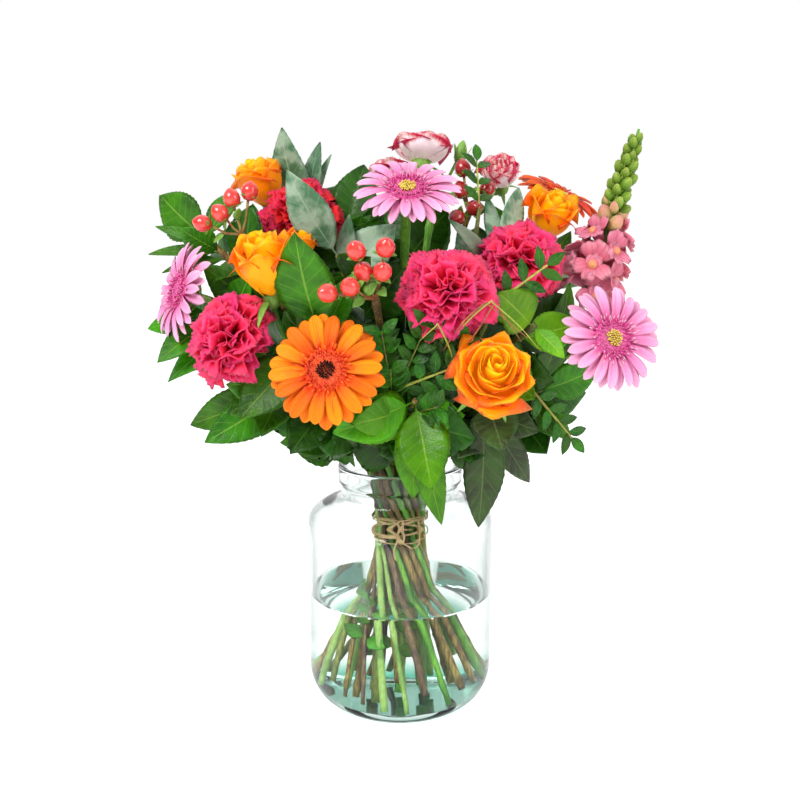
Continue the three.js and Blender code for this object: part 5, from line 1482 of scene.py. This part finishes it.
def leaf_frame(base, tip, known):
    """The way a leaf faces, and where its tip came to rest among its neighbours."""
    facing = (base + tip) / 2 - LEAF_MIDDLE
    facing = Vector((facing.x * 0.35, facing.y, facing.z * 0.45)).normalized()
    side = facing.cross((tip - base).normalized()).normalized()
    for lift, slide in TIP_SHIFTS:
        end = tip + facing * lift + side * slide
        if np.linalg.norm(known - np.array(end), axis=1).min() < 0.1:
            return facing, end
    return facing, None


def leaf_blade(base, tip, facing, width, finish, rng, teeth=15, stalk=0.12, arch=0.06, thick=0.7):
    """A leaf from its stalk to its tip, folded along the midrib, with a toothed edge."""
    along = tip - base
    length = along.length
    along.normalize()
    up = (facing - along * facing.dot(along)).normalized()
    across = up.cross(along)
    s = np.linspace(0, 1, 2 * teeth + 3)[:, None]
    u = np.linspace(-1, 1, 9)[None, :]
    grown = np.clip((s - stalk) / (1 - stalk), 0, 1)
    half = width * 0.56 * np.sin(grown**0.87 * math.pi) ** 0.86
    tooth = (np.arange(2 * teeth + 3) % 2)[:, None] * 0.035 * (np.abs(u) > 0.99)
    fold = rng.uniform(0.05, 0.3)
    reach = np.maximum(half * (1 - tooth), 0.45 * (1 - s) + 0.12) * u
    wave = rng.uniform(0, 6.28)
    lift = arch * length * 4 * s * (1 - s) + fold * np.abs(reach)
    lift = lift + 0.05 * width * np.sin(s * 9 + wave + 1.2 * u) * np.abs(u) ** 1.5 * grown
    lift = lift - rng.uniform(0.0, 0.1) * length * s**3
    quilt = 0.012 * width * np.sin(s * 58 - np.abs(u) * 6) * np.abs(u) * (1 - np.abs(u)) * 4
    lift = lift + quilt * (grown > 0.02)
    forward = s * length - 0.02 * length * np.abs(u) * np.sin(grown * math.pi)
    grid = (
        np.array(base) + forward[..., None] * np.array(along)
        + reach[..., None] * np.array(across) + lift[..., None] * np.array(up)
    )
    return sheet(grid, thick, finish, rng.uniform(0, 1))


def shown_facing(facing, base, tip):
    """Leaves that rise show their face outwards, not up."""
    middle = (base + tip) / 2
    outward = Vector((middle.x * 0.3, -60 if middle.y < 60 else 60, 0)).normalized()
    rising = min(1, max(0, (tip.z - base.z) / 40))
    return facing.lerp(outward, 0.75 * rising).normalized()


def clear_of_blooms(point):
    """True where a leaf neither pierces a bloom nor stands in front of it."""
    for kind, heart, facing, size in BLOOMS.values():
        away = point - Vector(heart)
        ahead = away.dot(Vector(facing).normalized())
        aside = (away - Vector(facing).normalized() * ahead).length
        if ahead > -BLOOM_BACK[kind] * size and aside < BLOOM_RADIUS[kind] * size + 3:
            return False
    return True


def inner_leaf(one, i):
    """A leaf deeper in the bouquet: where it starts and ends, and its width."""
    share = 0.92 - 0.06 * i
    base, growth = one.at(share), one.along(share)
    first = Vector((0, 0, 1)).cross(growth).normalized()
    second = growth.cross(first)
    angle = i * 2.4 + one.order * 1.3 + 0.8
    length = 46 + 5 * ((one.order + i) % 4)
    reach = first * math.cos(angle) + second * math.sin(angle)
    return base, base + reach * (0.78 * length) + growth * (0.62 * length), length * 0.68


def lower_leaf(one, i):
    """A leaf further down the twig, a fixed turn round from the last."""
    share = 0.88 - 0.1 * i
    base, growth = one.at(share), one.along(share)
    first = Vector((0, 0, 1)).cross(growth).normalized()
    second = growth.cross(first)
    angle = i * 2.4 + one.order
    length = 44 + 4 * ((one.order + i) % 4)
    tip = base + first * (math.cos(angle) * 0.8 * length) + second * (math.sin(angle) * 0.8 * length)
    return base, tip + growth * (0.55 * length), length * 0.54


def grass_blade(points, width, finish, tone):
    """A thin grass blade that bends over along a line of points."""
    line = np.array(smoothed([list(p) for p in points], 6))
    s = np.linspace(0, 1, len(line))[:, None]
    heading = np.gradient(line, axis=0)
    across = np.cross(heading, [0.2, -1, 0.15])
    across /= np.linalg.norm(across, axis=1)[:, None]
    half = (width / 2 * (1 - s**3) + 0.12) * np.linspace(-1, 1, 5)[None, :]
    return sheet(line[:, None, :] + half[..., None] * across[:, None, :], 0.35, finish, tone)


BLOOM_BACK = {"gerbera": 10, "rose": 30, "carnation": 22}
# A few leaves were left on below the water: the heights of each pair on its twig.
SUNKEN_LEAVES = {
    "left_leaf_sprig": (66,), "far_left_leaf_sprig": (58, 78), "back_left_leaf_sprig": (84,),
    "back_right_leaf_sprig": (88,),
}
# Two big leaves fill gaps between the blooms on the left: how far up the twig the stalk
# leaves it, where the blade starts and ends, and its width.
GAP_LEAVES = {
    "front_left_leaf_sprig": (0.93, Vector((-64, -100, 304)), Vector((-108, -124, 262)), 34),
    "left_leaf_sprig": (0.8, Vector((-98, -30, 318)), Vector((-146, -36, 360)), 27),
}
for name in SPRIG_ENDS:
    one = stem_of[name]
    finish, slot = LEAF_FINISH.get(name, (green_leaf, "leaf"))
    known = node_points(name)
    rng = np.random.default_rng(500 + one.order)
    twig = STEM_FINISH["twig"][one.order % 4]
    shapes = [stem_tube(one, twig)]
    wanted = [(one.at(share * 0.985), Vector(tip), width) for share, tip, width in SPRIG_LEAVES[name]]
    for base, tip, width in wanted:
        facing, end = leaf_frame(base, tip, known)
        end = end or tip
        shapes.append(leaf_blade(base, end, shown_facing(facing, base, end), width, finish, rng))
    for i in range(6):
        base, tip, width = lower_leaf(one, i)
        facing, end = leaf_frame(base, tip, known)
        if end:
            shapes.append(leaf_blade(base, end, facing, width, finish, rng))
    for i in range(12):
        base, tip, width = inner_leaf(one, i)
        if tip.z > 214 and tip.x**2 + (tip.y * 1.1) ** 2 < 150**2 and all(
            clear_of_blooms(base.lerp(tip, share)) for share in (0.35, 0.7, 1)
        ):
            facing, _ = leaf_frame(base, tip, known)
            shapes.append(leaf_blade(
                base, tip, shown_facing(facing, base, tip), width, deep_leaf, rng, teeth=9,
            ))
    if name in GAP_LEAVES:
        share, base, tip, width = GAP_LEAVES[name]
        foot = one.at(share)
        shapes.append(tube([foot.lerp(base, t) for t in np.linspace(0, 1, 6)], np.linspace(1.1, 0.7, 6), twig, 6))
        shapes.append(leaf_blade(base, tip, Vector((-0.15, -1, 0.3)).normalized(), width, green_leaf, rng))
    if name in SUNKEN_LEAVES:
        for height in SUNKEN_LEAVES[name]:
            base = one.low(height)
            outward = Vector((base.x, base.y, 0)).normalized()
            for hand in (-1, 1):
                tip = base + outward.cross(Vector((0, 0, hand))) * 17 + Vector((0, 0, 6 * hand + 2))
                if tip.xy.length < JAR_RADIUS - JAR_WALL - 4:
                    shapes.append(leaf_blade(
                        base, tip, (outward + Vector((0, 0, 0.6))).normalized(), 11, green_leaf, rng, teeth=7,
                    ))
    make_piece(name.replace("_sprig", "_greenery"), shapes, slot, name)

# ---- Pinnate sprigs ----------------------------------------------------------------
# Thin shoots with pairs of small dark pointed leaflets and one at the tip.
# A few fine grass blades are tucked in beside the middle one.
SIDE_SHOOTS = [(-12, -134, 322), (18, -138, 328), (44, -132, 318), (-6, -140, 298), (26, -142, 274)]
small_leaf = leaf_material("small dark leaflet", "#2E6E14", "#153C0E", "#5C9036", "#5A8A50", 0.36, 4.0)
grass_green = stem_material("yellow-green grass", "#8E9C34", "#B4B44C", "#8A6A3C", 0.5, 120.0)
grass_red = stem_material("red-brown grass", "#94503A", "#B4783C", "#6C3428", 0.5, 120.0)
for name, (first, last, pairs, length) in PINNATE.items():
    one = stem_of[name]
    rng = np.random.default_rng(600 + one.order)
    first, last = Vector(first), Vector(last)
    axis = (last - first).normalized()
    across = axis.cross((first - Vector((0, 0, 290))).normalized()).normalized()
    known = node_points(name)
    shapes = [stem_tube(one, olive_stem)]
    shapes.append(tube(
        [first.lerp(last, t) for t in np.linspace(0, 1, 8)], np.linspace(1.1, 0.6, 8), grass_green, 8,
    ))
    wanted = []
    for i in range(pairs):
        base = first.lerp(last, (i + 0.5) / pairs)
        for hand in (-1, 1):
            wanted.append((base, base + across * (hand * length * 0.85) + axis * (length * 0.5)))
    wanted.append((last - axis * 1.5, last + axis * (length * 0.8)))
    for base, tip in wanted:
        facing, end = leaf_frame(base, tip, known)
        shapes.append(leaf_blade(
            base, end or tip, facing, length * 0.4, small_leaf, rng, teeth=6, stalk=0.05, thick=0.5,
        ))
    if name == "centre_pinnate_sprig":
        # Side shoots fill the dark middle between the orange gerbera and the front rose.
        for hand, reach in enumerate(SIDE_SHOOTS):
            foot = one.at(0.9 - 0.06 * hand)
            top = Vector(reach)
            way = (top - foot).normalized()
            sideways = way.cross(Vector((0.1, -1, 0.3))).normalized()
            shapes.append(tube(
                [foot.lerp(top, t) for t in np.linspace(0, 1, 6)], np.linspace(0.9, 0.45, 6), olive_stem, 6,
            ))
            for i in range(5):
                node = foot.lerp(top, 0.4 + 0.14 * i)
                for turn in (-1, 1):
                    end = node + sideways * (turn * 12) + way * 9 + Vector((0, -3 + 2 * turn, 0))
                    shapes.append(leaf_blade(
                        node, end, Vector((0.1 * turn, -1, 0.5)).normalized(), 7, small_leaf, rng,
                        teeth=5, stalk=0.05, thick=0.5,
                    ))
        for k, (points, finish) in enumerate((
            ([(30, -128, 312), (44, -152, 332), (56, -157, 343), (58, -157, 342), (74, -158, 328), (88, -157, 312)], grass_green),
            ([(28, -128, 308), (40, -150, 330), (53, -156, 342), (55, -156, 341), (68, -158, 330), (80, -158, 320)], grass_red),
            ([(36, -126, 300), (30, -146, 316), (24, -152, 328), (22, -153, 327), (12, -154, 318)], grass_green),
            ([(40, -124, 306), (50, -150, 326), (58, -156, 341), (60, -156, 340), (76, -157, 318)], grass_red),
        )):
            shapes.append(grass_blade(points, 0.9, finish, k / 4))
    make_piece(name.replace("_sprig", "_shoot"), shapes, "small_leaf", name)

# ---- Floor, light and camera ---------------------------------------------------------
floor_paper, tree = new_material("white paper floor")
add_node(tree, "ShaderNodeOutputMaterial", {"Surface": add_node(
    tree, "ShaderNodeBsdfPrincipled",
    {"Base Color": linear("#D8D8D8"), "Roughness": 0.9, "Emission Color": linear("#FFFFFF"), "Emission Strength": 0.6},
).outputs[0]})
mesh = bpy.data.meshes.new("floor")
mesh.from_pydata([(-9, -9, -0.0005), (9, -9, -0.0005), (9, 9, -0.0005), (-9, 9, -0.0005)], [], [(0, 1, 2, 3)])
mesh.materials.append(floor_paper)
floor = bpy.data.objects.new("paper_floor", mesh)
bpy.context.scene.collection.objects.link(floor)

world = bpy.data.worlds.new("white studio")
bpy.context.scene.world = world
world.use_nodes = True
tree = world.node_tree
tree.nodes.clear()
heading = add_node(tree, "ShaderNodeSeparateXYZ", {0: add_node(tree, "ShaderNodeTexCoord").outputs["Generated"]}).outputs
sideways = add_node(tree, "ShaderNodeMath", {0: heading[0]}, operation="ABSOLUTE").outputs[0]
dim = add_node(tree, "ShaderNodeMapRange", {0: sideways, 1: 0.5, 2: 0.98, 3: 1.0, 4: 0.3}).outputs[0]
high = add_node(tree, "ShaderNodeMapRange", {0: heading[2], 1: 0.3, 2: 0.9, 3: 0.0, 4: 0.3}).outputs[0]
behind = add_node(tree, "ShaderNodeMapRange", {0: heading[1], 1: -0.3, 2: 0.25, 3: 0.42, 4: 1.0}).outputs[0]
dim = add_node(tree, "ShaderNodeMath", {0: dim, 1: behind}, operation="MULTIPLY").outputs[0]
strength = add_node(tree, "ShaderNodeMath", {0: dim, 1: high}, operation="ADD").outputs[0]
seen = add_node(tree, "ShaderNodeLightPath").outputs["Is Camera Ray"]
level = add_node(tree, "ShaderNodeMix", {0: seen, 2: strength, 3: 1.0}).outputs[0]
add_node(tree, "ShaderNodeOutputWorld", {"Surface": add_node(tree, "ShaderNodeBackground", {"Color": (1, 1, 1, 1), "Strength": level}).outputs[0]})


def softbox(name, place, aim, size, power):
    lamp = bpy.data.lights.new(name, "AREA")
    lamp.shape = "RECTANGLE"
    lamp.size, lamp.size_y, lamp.energy = size[0], size[1], power
    made = bpy.data.objects.new(name, lamp)
    made.location = place
    made.rotation_euler = (Vector(aim) - Vector(place)).to_track_quat("-Z", "Y").to_euler()
    bpy.context.scene.collection.objects.link(made)


softbox("key softbox", (-0.9, -1.3, 1.5), (0, 0, 0.3), (0.9, 0.9), 34)
softbox("fill softbox", (1.3, -0.9, 0.9), (0, 0, 0.25), (0.8, 1.0), 10)

camera = bpy.data.objects.new("camera", bpy.data.cameras.new("camera"))
camera.location = (0, -0.750, 0.395)
camera.rotation_euler = (math.radians(79.13), 0, 0)
camera.data.lens = 43.07
camera.data.sensor_width = 36
bpy.context.scene.collection.objects.link(camera)
bpy.context.scene.camera = camera
bpy.context.scene.view_settings.view_transform = "Standard"

for helper in patterns:
    bpy.data.objects.remove(helper)
